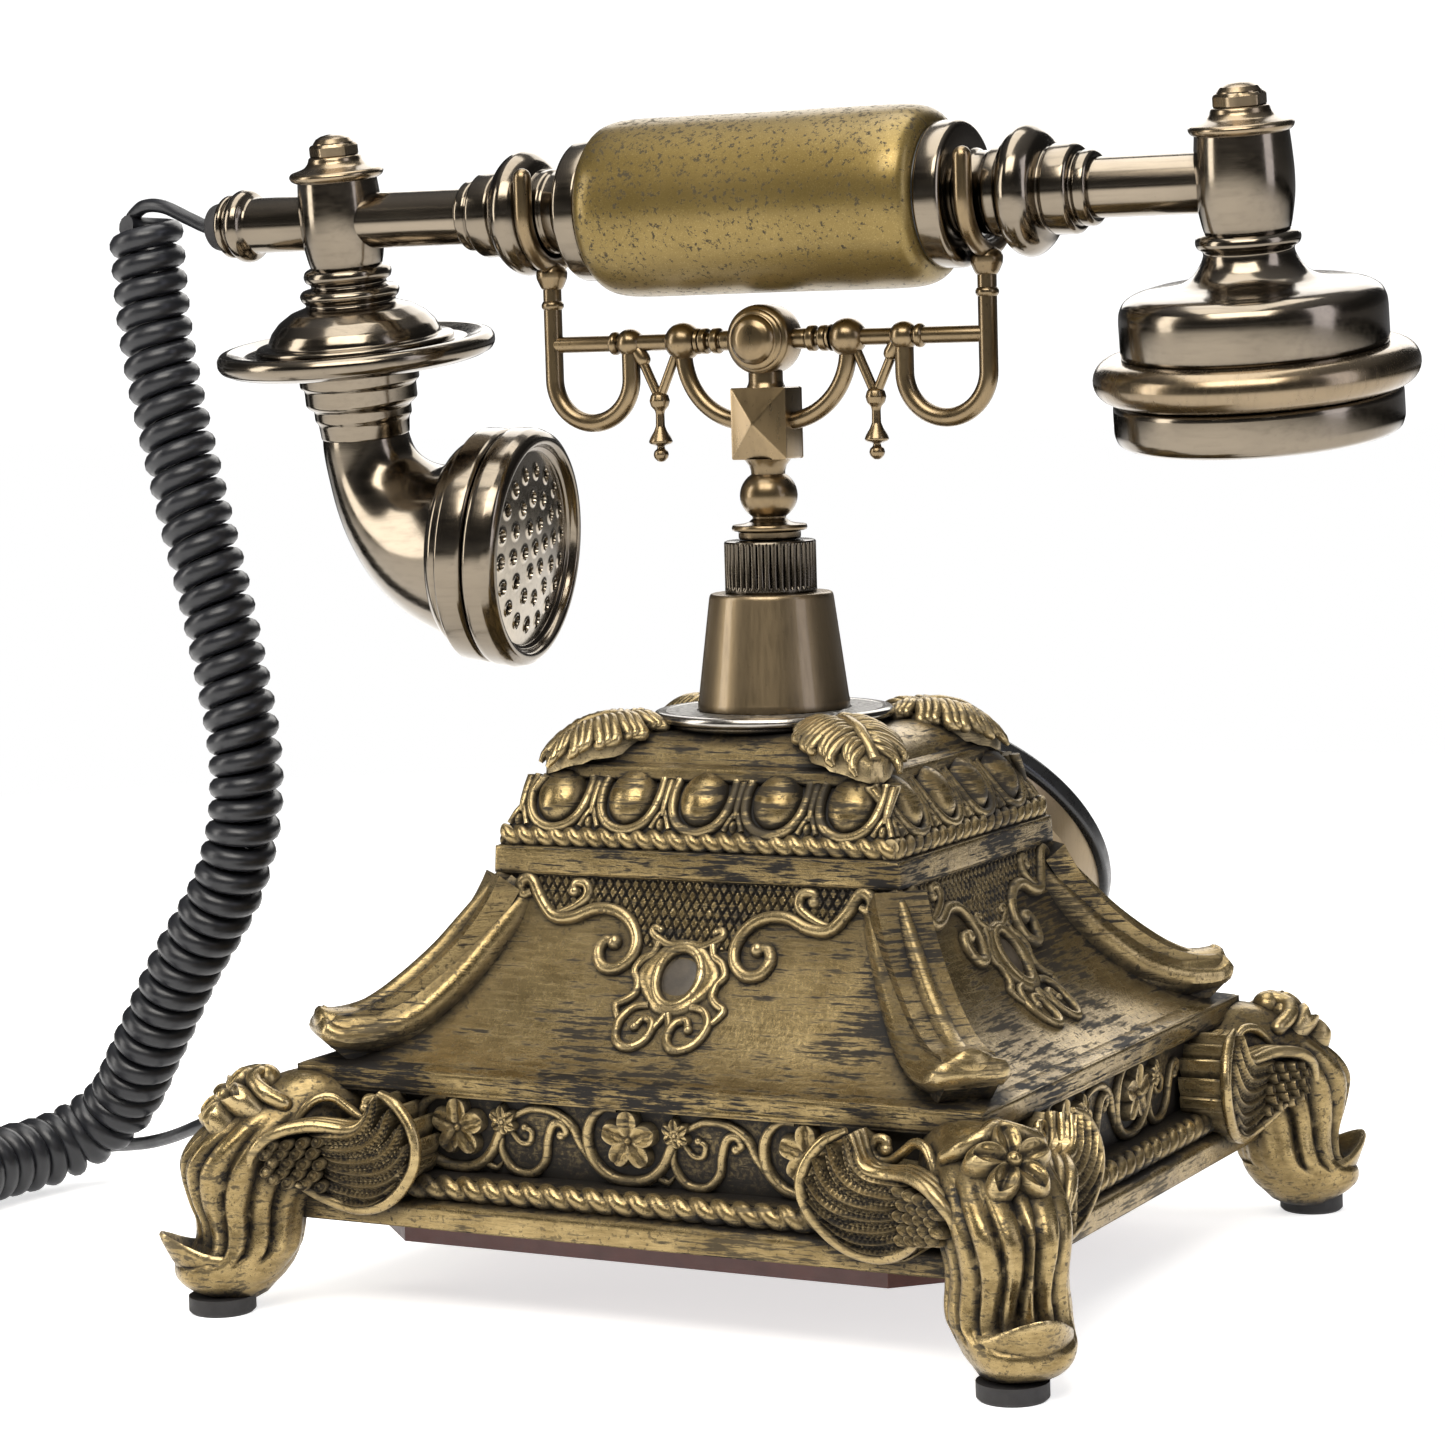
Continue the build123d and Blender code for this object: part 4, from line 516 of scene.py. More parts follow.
held("neck_spools_turned", both_ends(
    [(3, 41.0), (8.3, 41.0), (8.3, 43.2), (7.7, 43.8), (7.7, 46.4), (8.3, 47.0)]
    + list(smooth_curve(bead, 4))
    + [(7.7, 57.6), (7.7, 58.2), (8.3, 58.7), (8.3, 62.9), (7.7, 63.5), (6.6, 63.6), (6.6, 64.2),
      (6.95, 64.6), (6.95, 66.3), (6.3, 66.9), (3, 66.9)], 0.35, 128),
     GUNMETAL, ["neck_spools"])
tubes = []
for start, end in ((61.9, 93.4), (-61.9, -91.4)):
    tubes.append(lathe([(0, start), (5.55, start), (5.55, end), (0, end)], BAR, 72))
end_tube = soften([(0, 100), (5.55, 100), (5.55, 117.4), (6.2, 118.0), (7.0, 118.5), (7.4, 119.5),
                   (7.3, 120.6), (6.6, 121.6), (5.7, 122.0), (5.7, 122.4), (6.4, 122.8),
                   (6.4, 123.8), (5.9, 124.3), (3.5, 124.4), (0, 124.4)], 0.4)
tubes.append(lathe(end_tube, BAR, 96))
held("arm_tubes_plated", tubes, GUNMETAL, ["arm_tubes"])


def column(place, waist):
    profile = smooth_curve(
        [(7.2 + waist, -9), (7.7 + waist, -7), (8.35 + waist, -3), (8.5 + waist, 1),
         (8.3 + waist, 5), (8.0 + waist, 8.6)], 6)
    return lathe(np.array([(0, -9)] + profile.tolist() + [(0, 8.6)]), place, 96)


held("columns_turned", [column(MOUTH_PLACE, 0), column(EAR_PLACE, 0.5)], GUNMETAL, ["columns"])
cap_profile = soften([(0, 8.4), (8.3, 8.4), (9.2, 8.9), (9.6, 9.7), (9.2, 10.4), (7.4, 10.9),
                      (6.3, 11.3), (5.5, 12.2), (5.2, 13.3), (0, 13.3)], 0.4)
held("column_caps_turned", [lathe(cap_profile, p, 96) for p in (MOUTH_PLACE, EAR_PLACE)],
     RIM_BRONZE, ["column_caps"])
nuts = []
for place in (MOUTH_PLACE, EAR_PLACE):
    origin, ex, ey, ez = place
    hexagon = [(4.7, 13.2), (4.9, 13.5), (4.9, 15.2), (4.6, 15.6), (4.25, 15.8)]
    rows = []
    for radius, height in [(0, 13.2)] + hexagon + [(0, 15.8)]:
        ring = []
        for k in range(48):
            angle = 2 * math.pi * k / 48
            sixth = (angle + math.pi / 6) % (math.pi / 3) - math.pi / 6
            reach = radius * min(1.0, 0.905 / math.cos(sixth)) if radius > 4.3 else radius * 0.97
            ring.append(origin + ex * reach * math.cos(angle) + ey * reach * math.sin(angle)
                        + ez * height)
        rows.append(ring)
    nuts.append(skin(np.array(rows)))
    nuts.append(lathe([(0, 15.4), (4.1, 15.4), (4.0, 16.0), (3.4, 16.8), (2.4, 17.3), (1.2, 17.55),
                       (0, 17.6)], place, 48))
held("cap_nuts_hex", nuts, RIM_BRONZE, ["cap_nuts"], 25)
piece("cord_grommet_rubber", [lathe(soften(
    [(0, 124.0), (5.0, 124.0), (5.1, 125.4), (4.6, 127.4), (3.6, 128.3), (2.2, 128.6), (0, 128.6)],
    0.4), BAR, 48)], RUBBER, "handset", ["cord_grommet"])

flange = soften([
    (0, -8.8), (7.4, -8.8), (8.6, -9.4), (9.0, -10.5), (8.6, -11.6), (7.6, -12.1), (7.7, -12.9),
    (9.6, -13.3), (10.2, -14.2), (9.8, -15.3), (9.0, -16.0), (9.3, -16.6), (12.4, -17.6),
    (15.0, -19.3), (16.7, -21.2), (17.5, -22.9), (17.6, -23.7), (20.0, -23.9), (20.3, -24.6),
    (20.0, -25.2), (22.5, -25.1), (26.4, -24.1), (27.6, -24.4), (28.3, -25.4), (28.3, -26.8),
    (27.6, -27.9), (26.0, -28.6), (24.5, -29.0), (13.0, -28.4), (12.2, -29.4), (12.2, -32.6),
    (11.4, -33.2), (11.4, -36.4), (10.6, -37.2), (9.9, -37.6), (9.9, -39.6), (9.3, -40.4),
    (9.0, -43.6), (0, -43.6)], 0.4)
held("mouth_flange_turned", [lathe(flange, MOUTH_PLACE, 128)], GUNMETAL, ["mouth_flange"])

HORN_BEND, HORN_SWEEP, HORN_TWIST = 23.0, 84.0, 7.0
twist_cos, twist_sin = turn(HORN_TWIST)
FACE_OUT = -X * twist_cos - ACROSS * twist_sin
HORN_START = MOUTH - 43.6 * UP


def horn_place(degrees):
    """(origin, x, y, z) across the horn after some of its bend."""
    c, s = turn(degrees)
    middle = HORN_START + FACE_OUT * HORN_BEND * (1 - c) - UP * HORN_BEND * s
    forward = FACE_OUT * s - UP * c
    side = unit(np.cross(UP, FACE_OUT))
    return middle, side, np.cross(forward, side), forward


stations = smooth_curve([(0, 8.8), (18, 9.6), (38, 12.2), (60, 16.0), (84, 19.8)], 8)
horn_rows = []
for degrees, radius in stations:
    origin, ex, ey, ez = horn_place(degrees)
    angle = 2 * math.pi * np.arange(96) / 96
    horn_rows.append(origin + radius * (np.cos(angle)[:, None] * ex + np.sin(angle)[:, None] * ey))
FACE = horn_place(HORN_SWEEP)
horn_collar = soften([
    (0, -1.5), (19.6, -1.5), (20.6, -0.6), (21.2, 0.3), (21.2, 1.9), (22.6, 2.0), (23.7, 2.6),
    (23.8, 4.6), (23.8, 7.4), (23.2, 8.1), (0, 8.1)], 0.45)
held("horn_bell", [skin(np.array(horn_rows)), lathe(horn_collar, FACE, 128)], GUNMETAL, ["horn"])

# mouthpiece cap: rim, and a perforated dish whose holes are real
cap_rim = soften([
    (19.8, 8.4), (23.2, 8.3), (24.1, 8.9), (24.3, 9.9), (24.3, 12.9), (23.7, 14.4), (22.5, 15.3),
    (21.4, 15.3), (20.9, 14.6), (20.6, 13.5), (19.6, 13.2)], 0.4, closed=True)
held("mouthpiece_rim", [lathe(cap_rim, FACE, 128, ring=True)], GUNMETAL,
     ["mouthpiece_cap", "microphone"])


def perforated(place, radius, rings, height, hole=1.1, depth=1.3, dome=1.6, lift=0.0):
    """Dished disc with drilled holes, each with a small raised rim, as one height field."""
    origin, ex, ey, ez = place
    step = 0.26
    count = int(2 * radius / step) + 1
    line = np.linspace(-1, 1, count)
    a, b = np.meshgrid(line, line, indexing="ij")
    px = radius * a * np.sqrt(1 - b * b / 2)
    py = radius * b * np.sqrt(1 - a * a / 2)
    r2 = (px * px + py * py) / radius ** 2
    h = height + lift + dome * (1 - r2)
    for ring, number in [(0, 1)] + rings:
        for k in range(number):
            angle = 2 * math.pi * k / number
            d = np.hypot(px - ring * math.cos(angle), py - ring * math.sin(angle))
            h = h + 0.22 * np.exp(-((d - hole - 0.25) / 0.28) ** 2)
            h = h - depth * np.clip((hole + 0.12 - d) / 0.24, 0, 1)
    front = origin + px[..., None] * ex + py[..., None] * ey + h[..., None] * ez
    back = origin + px[..., None] * ex + py[..., None] * ey + (height - 2.6) * ez
    return slab(front, back)


DISH = plating("perforated_dish", (0.42, 0.365, 0.285), (0.02, 0.015, 0.01), 0.15, 0.4,
               (900, 900, 900), 0.1, 0.0022)
held("mouthpiece_dish", [perforated(FACE, 20.7, [(5.2, 6), (10.4, 12), (15.6, 18)], 12.8)],
     DISH, [], 30)

ear_cup = soften([
    (0, -8.8), (8.0, -8.8), (9.2, -9.4), (9.6, -10.5), (9.2, -11.6), (8.2, -12.1), (8.2, -13.0),
    (8.6, -14.0), (9.4, -15.4), (10.7, -16.8), (12.6, -17.8), (15.5, -18.4), (19.2, -18.7),
    (21.6, -19.3), (23.3, -20.4), (24.1, -22.2), (24.2, -24.0), (24.2, -30.4), (0, -30.4)], 0.8)
held("ear_cup_turned", [lathe(ear_cup, EAR_PLACE, 128)], GUNMETAL, ["ear_cup"])
ring_arc = [(25.6 + 3.9 * turn(t)[0], -34.1 + 3.9 * turn(t)[1]) for t in range(90, -91, -12)]
held("ear_ring_turned", [lathe(np.array([(20, -30.2)] + ring_arc + [(20, -38.0)]), EAR_PLACE, 128,
                               ring=True)], RIM_BRONZE, ["ear_ring"])
ear_cap = soften([
    (18.6, -43.4), (19.2, -45.6), (20.6, -46.3), (24.0, -46.4), (25.6, -45.6), (26.2, -44.0),
    (26.2, -38.9), (25.4, -38.0), (18.6, -38.0)], 0.6, closed=True)
held("ear_cap_rim", [lathe(ear_cap, EAR_PLACE, 128, ring=True)], GUNMETAL, ["ear_cap", "receiver"])
EAR_FACE = (EAR, X, ACROSS, -UP)
held("ear_cap_dish", [perforated(EAR_FACE, 19.0, [(4.5, 6), (9.0, 12)], 44.4, 1.1, 1.3,
                                 -1.4, 0.9)], DISH, [], 30)

# ------------------------------------------------------------------ cradle
BAR_Z, FORK_X, BEND_R, BEND_Z = 178.6, 46.5, 8.6, 171.8
BRACE_R = 13.5
UPRIGHT = (np.zeros(3), X, Y, Z)
stem = soften([
    (0, 139.0), (2.95, 139.0), (2.95, 140.5), (5.8, 140.5), (6.0, 140.9), (6.0, 142.0),
    (7.1, 142.2), (7.3, 142.7), (7.1, 143.3), (5.2, 143.5), (4.0, 143.8), (3.2, 144.5)], 0.2)
ball_arc = [(5.55 * turn(t)[0], 148.9 + 5.0 * turn(t)[1]) for t in range(-54, 55, 9)]
stem_profile = np.array(list(stem) + ball_arc + [(3.3, 153.6), (3.6, 154.6), (4.6, 155.9),
                                                 (0, 155.9)])
lower = lathe([(0, 74), (3, 74), (3, 139.4), (0, 139.4)], UPRIGHT, 48)
piece("cradle_stem_turned", [lathe(stem_profile, UPRIGHT, 72), lower], BRASS, "cradle",
      ["cradle_stem"])


def soft_box(low, high, edge):
    """Box with rounded vertical and horizontal edges."""
    low, high = np.array(low, float), np.array(high, float)
    mid, half = (low + high) / 2, (high - low) / 2
    rows = []
    for inset, z in ((edge, -half[2]), (edge * 0.3, -half[2] + edge * 0.3), (0, -half[2] + edge),
                     (0, half[2] - edge), (edge * 0.3, half[2] - edge * 0.3), (edge, half[2])):
        ring = []
        for k, (cx, cy) in enumerate(CORNERS):
            for step in range(4):
                angle = math.radians(90 * k + 30 * step)
                ring.append(mid + [cx * (half[0] - edge) + (edge - inset) * math.cos(angle),
                                   cy * (half[1] - edge) + (edge - inset) * math.sin(angle), z])
        rows.append(ring)
    return skin(np.array(rows))


def pyramid(side):
    """Low pyramid on the block's front or back."""
    levels = [(5.85, 6.85, 3.2), (5.85, 6.85, 3.6), (5.4, 6.35, 3.75), (0.5, 0.6, 6.15),
              (0.0, 0.0, 6.25)]
    rows = []
    for w, h, y in levels:
        ring = []
        for k, (cx, cz) in enumerate(CORNERS):
            edge = min(0.35, w * 0.5)
            for step in range(4):
                angle = math.radians(90 * k + 30 * step)
                ring.append([cx * (w - edge) + edge * math.cos(angle), side * y,
                             162.65 + cz * (h - edge) + edge * math.sin(angle)])
        rows.append(ring)
    return skin(np.array(rows))


parts = [soft_box((-5.85, -3.5, 155.8), (5.85, 3.5, 169.5), 0.5), pyramid(1), pyramid(-1),
         lathe(soften([(0, 169.2), (3.9, 169.2), (3.3, 170.4), (3.3, 172.8), (0, 172.8)], 0.5),
               UPRIGHT, 40)]
boss = soften([(0, -4.0), (5.7, -4.0), (6.6, -3.2), (6.75, -1.6), (6.75, 1.6), (6.6, 3.2),
               (5.7, 4.0), (0, 4.0)], 0.5)
parts.append(lathe(boss, (BAR_Z * Z, X, -Z, Y), 72))
for side in (-1, 1):
    fork, inner = side * FORK_X, side * (FORK_X - 2 * BEND_R)
    along = (BAR_Z * Z, Y * side, Z, X * side)
    rod = soften([(0, 5.5), (1.95, 5.5), (1.95, 8.9), (1.6, 9.3), (2.5, 9.6), (2.5, 10.9),
                  (1.5, 11.3), (1.5, 11.9), (2.5, 12.2), (2.5, 13.4), (1.7, 13.9), (1.6, 21.0),
                  (1.6, 25.4), (1.6, 46.5), (0, 46.5)], 0.25)
    parts.append(lathe(rod, along, 40))
    parts.append(lathe(soften([(0, 31.6), (1.6, 31.6), (2.3, 32.2), (2.3, 33.0), (1.6, 33.6),
                               (0, 33.6)], 0.3), along, 32))
    parts.append(ball((side * 17.6, 0, BAR_Z), 3.7, 36, X))
    parts.append(lathe(soften([(0, 13.6), (2.4, 13.7), (2.6, 14.4), (0, 14.6)], 0.2), along, 32))
    parts.append(ball((side * 29.3, 0, BAR_Z), 2.8, 32, X))
    bend = [(fork, 0, z) for z in np.linspace(190.4, BEND_Z, 8)]
    centre = side * (FORK_X - BEND_R)
    bend += [(centre + side * BEND_R * turn(t)[0], 0, BEND_Z - BEND_R * turn(t)[1])
             for t in range(6, 175, 6)]
    bend += [(inner, 0, z) for z in np.linspace(BEND_Z, BAR_Z, 4)]
    parts.append(sweep(bend, 1.8, 18))
    parts.append(lathe(soften([(0, 185.4), (1.8, 185.4), (2.2, 186.0), (2.2, 186.6), (1.8, 187.2),
                               (0, 187.2)], 0.2), ((fork, 0, 0), X, Y, Z), 28))
    # curved brace down to the block
    ax, az, bx, bz = 17.6, BAR_Z - 2, 5.0, 163.0
    chord = math.hypot(ax - bx, az - bz)
    mx, mz = (ax + bx) / 2, (az + bz) / 2
    rise = math.sqrt(BRACE_R ** 2 - (chord / 2) ** 2)
    nx, nz = -(az - bz) / chord, (ax - bx) / chord
    cx, cz = mx + nx * rise, mz + nz * rise
    t0, t1 = math.atan2(az - cz, ax - cx), math.atan2(bz - cz, bx - cx)
    if t1 > t0:
        t1 -= 2 * math.pi
    arc = [(side * (cx + BRACE_R * math.cos(t)), 0, cz + BRACE_R * math.sin(t))
           for t in np.linspace(t0, t1, 22)]
    parts.append(sweep(arc, 1.7, 16))
    # pendant
    hang = side * 23.2
    for foot_x in (18.8, 27.8):
        parts.append(sweep([(side * foot_x, 0, BAR_Z - 1.2), (hang, 0, 167.6)], 0.95, 12))
    drop = [(0, 155.4), (0.7, 155.6), (1.3, 156.2), (1.5, 156.9), (1.3, 157.6), (0.8, 158.0),
            (0.7, 158.5), (2.1, 159.0), (2.35, 159.4), (2.0, 160.2), (1.3, 161.4), (0.9, 162.4),
            (0.85, 164.8), (1.0, 165.4), (1.7, 166.2), (2.0, 167.3), (1.7, 168.4), (0.9, 169.2),
            (0, 169.3)]
    parts.append(lathe(soften(drop, 0.2), ((hang, 0, 0), X, Y, Z), 36))
    parts.append(rounded_rod([(side * 26.6, 0, BAR_Z - 3.2), (side * 28.0, 0, BAR_Z - 1.0)], 1.5))
piece("cradle_frame_cast", parts, BRASS, "cradle", ["cradle_frame"])
caps = []
cap_dome = soften([(0, 3.8), (5.7, 3.8), (5.8, 4.4), (5.2, 4.8), (4.7, 4.9), (4.5, 5.4),
                   (3.9, 6.1), (2.8, 6.6), (1.4, 6.85), (0, 6.9)], 0.3)
for side in (-1, 1):
    caps.append(lathe(cap_dome, (BAR_Z * Z, X, Z * side, Y * side), 64))
piece("boss_caps_domed", caps, BRASS, "cradle", ["boss_caps"])

prongs = []
FORK_ARC = 10.25
for side in (-1, 1):
    x = side * FORK_X
    path = [(x, -FORK_ARC, z) for z in np.linspace(211.0, HANDSET_Z, 6)[:-1]]
    path += [(x, -FORK_ARC * turn(t)[0], HANDSET_Z - FORK_ARC * turn(t)[1])
             for t in range(0, 181, 7)]
    path += [(x, FORK_ARC, z) for z in np.linspace(HANDSET_Z, 211.0, 6)[1:]]
    prongs.append(rounded_rod(path, 1.78, 18))
    prongs.append(lathe(soften([(0, 189.4), (1.9, 189.4), (2.3, 190.0), (3.0, 191.6), (3.1, 192.8),
                                (2.6, 193.9), (1.6, 194.6), (0, 194.8)], 0.3),
                        ((x, 0, 0), X, Y, Z), 40))
piece("cradle_forks_cast", prongs, BRASS, "cradle", ["cradle_forks"])

# ------------------------------------------------------------------ post
HAMMERED = Graph("hammered_grey")
cells = HAMMERED.node("TexVoronoi", {"feature": "F1"}, Vector=HAMMERED.coords, Scale=780.0)
speck = HAMMERED.noise(900, 3, 0.7)
HAMMERED.put(Base_Color=HAMMERED.mix(HAMMERED.ramp(speck, 0.35, 0.65), (0.10, 0.095, 0.09),
                                     (0.34, 0.33, 0.31)),
             Metallic=0.9, Roughness=HAMMERED.ramp(speck, 0.3, 0.7, 0.3, 0.5),
             Normal=HAMMERED.bump(cells.outputs["Distance"], 0.9, 0.0005))
flange_profile = soften([(0, 105.0), (21.2, 105.0), (21.8, 105.5), (22.0, 106.0), (23.0, 106.3),
                         (23.3, 107.0), (23.0, 107.8), (22.2, 108.1), (21.0, 108.0),
                         (20.6, 107.8), (0, 107.8)], 0.25)
piece("post_flange_turned", [lathe(flange_profile, UPRIGHT, 128)],
      plating("flange_edge", (0.36, 0.335, 0.30), (0.06, 0.05, 0.042), 0.16, 0.5),
      "base", ["post_flange"])
angle = 2 * math.pi * np.arange(160) / 160
radii = np.linspace(14.9, 20.9, 15)
rng = np.random.default_rng(7)
top = np.zeros((len(radii), 160, 3))
for i, r in enumerate(radii):
    lift = 0.10 + 0.13 * rng.random(160) * (0 < i < len(radii) - 1)
    top[i] = np.stack([r * np.cos(angle), r * np.sin(angle), 107.85 + lift], 1)
bottom = top.copy()
bottom[..., 2] = 107.5
ring_rows = np.concatenate([top, bottom[::-1]])
piece("post_flange_hammered", [skin(ring_rows, ring=True)], HAMMERED.material, "base",
      [], 60)
cup = soften([(0, 107.6), (14.65, 107.6), (14.7, 109.2), (14.5, 110.0), (11.95, 129.7),
              (11.6, 130.3), (0, 130.3)], 0.5)
piece("post_cup_brushed", [lathe(cup, UPRIGHT, 128)], CUP_BRONZE, "base",
      ["post_cup"])


def ribs(radius, height, angle):
    inside = np.clip((height - 131.2) / 0.4, 0, 1) * np.clip((139.9 - height) / 0.4, 0, 1)
    wave = np.abs(np.sin(20 * angle)) ** 0.6
    return np.where(radius > 8, radius - 0.62 * inside * (1 - wave), radius)


collar = [(0, 130.2), (8.75, 130.2), (8.85, 130.5), (8.85, 131.1), (8.85, 131.6), (8.85, 135),
          (8.85, 139.4), (8.85, 139.9), (8.7, 140.2), (8.3, 140.35), (0, 140.35)]
piece("ribbed_collar_cut", [lathe(collar, UPRIGHT, 480, wave=ribs)], COLLAR_BLACK, "base",
      ["ribbed_collar", "guide_bush"], 30)

# ------------------------------------------------------------------ cord
COIL_PATH = [
    (143.5, 0, 206), (141.5, 0, 180), (135.5, 0, 152), (128, 0, 121), (123.6, 0, 92),
    (128.4, 0, 70), (142, -1, 50), (153.5, -3, 32.5), (165, -6, 17.5), (175.5, 1, 9.6),
    (180, 22, 8.5), (178, 58, 8.5),
]
CABLE_PATH = [
    (177.4, 62, 8.4), (182, 84, 5.2), (197, 90, 3), (208, 64, 2.4), (206, 10, 2.4),
    (188, -22, 3.2), (160, -12, 9), (132, 6, 19), (104, 16, 31), (90, 17.8, 35.6), (80, 18, 36.3),
    (72, 18, 36.3),
]


def even(path, spacing):
    """The same path with points at an even spacing."""
    gaps = np.linalg.norm(np.diff(path, axis=0), axis=1)
    reach = np.concatenate([[0], np.cumsum(gaps)])
    stops = np.linspace(0, reach[-1], max(2, int(reach[-1] / spacing)))
    return np.stack([np.interp(stops, reach, path[:, k]) for k in range(3)], 1), reach[-1]


centre_line, cord_length = even(smooth_curve(COIL_PATH, 24), 0.2)
tangent = np.gradient(centre_line, axis=0)
tangent /= np.linalg.norm(tangent, axis=1)[:, None]
WIRE, PITCH, COIL_R = 2.36, 5.0, 5.45
side_axis = unit(np.cross(tangent[0], [0.1, 0.2, 1.0]))
frames = []
for t in tangent:
    side_axis = unit(side_axis - t * (side_axis @ t))
    frames.append((side_axis, np.cross(t, side_axis)))
frames = np.array(frames)
reach = np.linspace(0, cord_length, len(centre_line))
phase = 2 * math.pi * reach / PITCH
helix = (centre_line + COIL_R * (np.cos(phase)[:, None] * frames[:, 0]
                                 + np.sin(phase)[:, None] * frames[:, 1]))
SPLIT_Z = 62.0
split = int(np.argmax(centre_line[:, 2] < SPLIT_Z))
upper, lower = helix[:split + 1], helix[split - 3:]
coil_upper = piece("coil_cord_upper", [sweep(upper, WIRE, 12)], CORD, "cradle",
                   ["coil_cord"], 60)
coil_lower = piece("coil_cord_lower", [sweep(lower, WIRE, 12)], CORD, "base", [], 60)
for cord_piece, a, b, start, end in (
        (coil_upper, "handset", "cradle", (0.1435, 0, 0.206), (0.128, 0, SPLIT_Z * MM + 0.004)),
        (coil_lower, "cradle", "base", (0.128, 0, SPLIT_Z * MM), (0.150, 0, 0.030))):
    cord_piece.parent = None
    del cord_piece["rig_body"]
    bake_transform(cord_piece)
tail = smooth_curve([(121, 0, HANDSET_Z), (127, 0, HANDSET_Z), (132, 0, 206.4), (138.5, 0, 209.2),
                     (144, -1, 209.6), (148, -2.6, 208.0), (148.9, -2.2, 206.2)], 8)
piece("cord_tail_wire", [rounded_rod(tail, 1.42, 14)], CORD, "handset",
      ["cord_tail"], 60)
piece("base_cable_wire", [rounded_rod(even(smooth_curve(CABLE_PATH, 12), 1.5)[0], 1.42, 14)], CORD,
      "base", ["base_cable"], 60)

# ------------------------------------------------------------------ CAD nodes kept as they are
KEPT = {
    "foot_bolts": STEEL, "bottom_screws": STEEL, "ballast_plate": STEEL, "hook_bracket": STEEL,
    "hook_pin": STEEL, "hook_lever": STEEL, "ringer_frame": STEEL, "post_nut": STEEL,
    "dial_frame": STEEL, "stem_clip": STEEL, "return_spring": STEEL, "dial_gear": STEEL,
    "governor_pinion": STEEL, "foot_pads": RUBBER, "bottom_plate": MAROON,
    "line_socket": BLACK, "handset_socket": BLACK, "ringer_switch_knob": BLACK,
    "hook_switch": BLACK,
    "circuit_board": plastic("board_green", (0.015, 0.09, 0.035), 0.4, 1.6),
    "ringer_gongs": steel("gong_brass", (0.62, 0.47, 0.22), 0.2),
    "ringer_clapper": STEEL,
    "ringer_coil": steel("coil_wire", (0.55, 0.24, 0.10), 0.35),
    "cord_plug": plastic("clear_plug", (0.42, 0.42, 0.40), 0.15, 1.2),
    "finger_wheel": GUNMETAL, "dial_hub_cap": BRASS, "finger_stop": GUNMETAL,
    "dial_housing": CUP_BRONZE,
    "number_plate": plastic("dial_paint", (0.78, 0.74, 0.64), 0.35, 1.1),
    "base_casting": GOLD_BODY,
}
for node_name, finish in KEPT.items():
    node = frame["nodes"][node_name]
    node.data.materials.clear()
    node.data.materials.append(finish)

# ------------------------------------------------------------------ dial
DIAL_COS, DIAL_SIN = turn(40)
DIAL = (np.array([0, -70.0, 73.0]), X, np.array([0, DIAL_SIN, DIAL_COS]),
        np.array([0, -DIAL_COS, DIAL_SIN]))
HOLE_CIRCLE = 25
HOLE_ANGLES = [65 + 30 * index for index in range(10)]


def dial_point(x, y, lift):
    return DIAL[0] + np.multiply.outer(x, DIAL[1]) + np.multiply.outer(y, DIAL[2]) + lift * DIAL[3]


def dial_circle(radius, lift, thick, centre=(0, 0), count=72):
    angle = 2 * math.pi * np.arange(count) / count
    line = dial_point(centre[0] + radius * np.cos(angle), centre[1] + radius * np.sin(angle), lift)
    return sweep(line, thick, 10, closed=True)


bezel = soften([(33.4, -2), (38.4, -2), (39.0, -1.2), (39.0, 1.6), (38.0, 2.8), (36.0, 3.0),
                (34.6, 2.0), (34.6, 0), (33.4, 0)], 0.5, closed=True)
piece("dial_bezel_turned", [lathe(bezel, DIAL, 144, ring=True)], BLACK, "base",
      ["dial_bezel"], 30)
piece("dial_bezel_bead", [dial_circle(36.9, 2.75, 0.62, count=144)], BRASS, "base")
HOLES = [(HOLE_CIRCLE * turn(a)[0], HOLE_CIRCLE * turn(a)[1]) for a in HOLE_ANGLES]
hole_rims = [dial_circle(5.1, 3.2, 0.45, hole, 48) for hole in HOLES]
piece("finger_wheel_rims", hole_rims + [dial_circle(31.4, 3.15, 0.5, count=144),
                                        dial_circle(17.2, 3.2, 0.45, count=96)],
      BRASS, "dial")
piece("dial_hub_beads", [dial_circle(13.7, 4.5, 0.42, count=96), dial_circle(8.5, 5.25, 0.32, count=96)],
      BRASS, "dial")
figures = []
for figure, (hx, hy) in zip("1234567890", HOLES):
    text = bpy.data.curves.new("figure", "FONT")
    text.body, text.size, text.extrude = figure, 6.6, 0.12
    text.align_x, text.align_y = "CENTER", "CENTER"
    text_object = bpy.data.objects.new("figure", text)
    shape = bpy.data.meshes.new_from_object(text_object)
    corners = np.array([dial_point(hx + v.co.x, hy + v.co.y, 0.86 + v.co.z) for v in shape.vertices])
    figures.append((corners, [list(f.vertices) for f in shape.polygons]))
    bpy.data.objects.remove(text_object)
    bpy.data.curves.remove(text)
    bpy.data.meshes.remove(shape)
piece("dial_figures", figures, BLACK, "base", sharp=30)

# ------------------------------------------------------------------ base: outline and faces
BASE_X, BASE_Y = 75.5, 68.5
DEPTH_LESS = BASE_X - BASE_Y
WALL_TOP_Z, CARTOUCHE_Z = 78.4, 61.9
LONG_SIDES, SHORT_SQUEEZE = ("back", "front"), 0.86
# (outward, along, half reach outward, half reach along); along = Z x outward, the viewer's right
SIDES = {
    "back": (Y, -X, BASE_Y, BASE_X), "left": (-X, -Y, BASE_X, BASE_Y),
    "front": (-Y, X, BASE_Y, BASE_X), "right": (X, Y, BASE_X, BASE_Y),
}


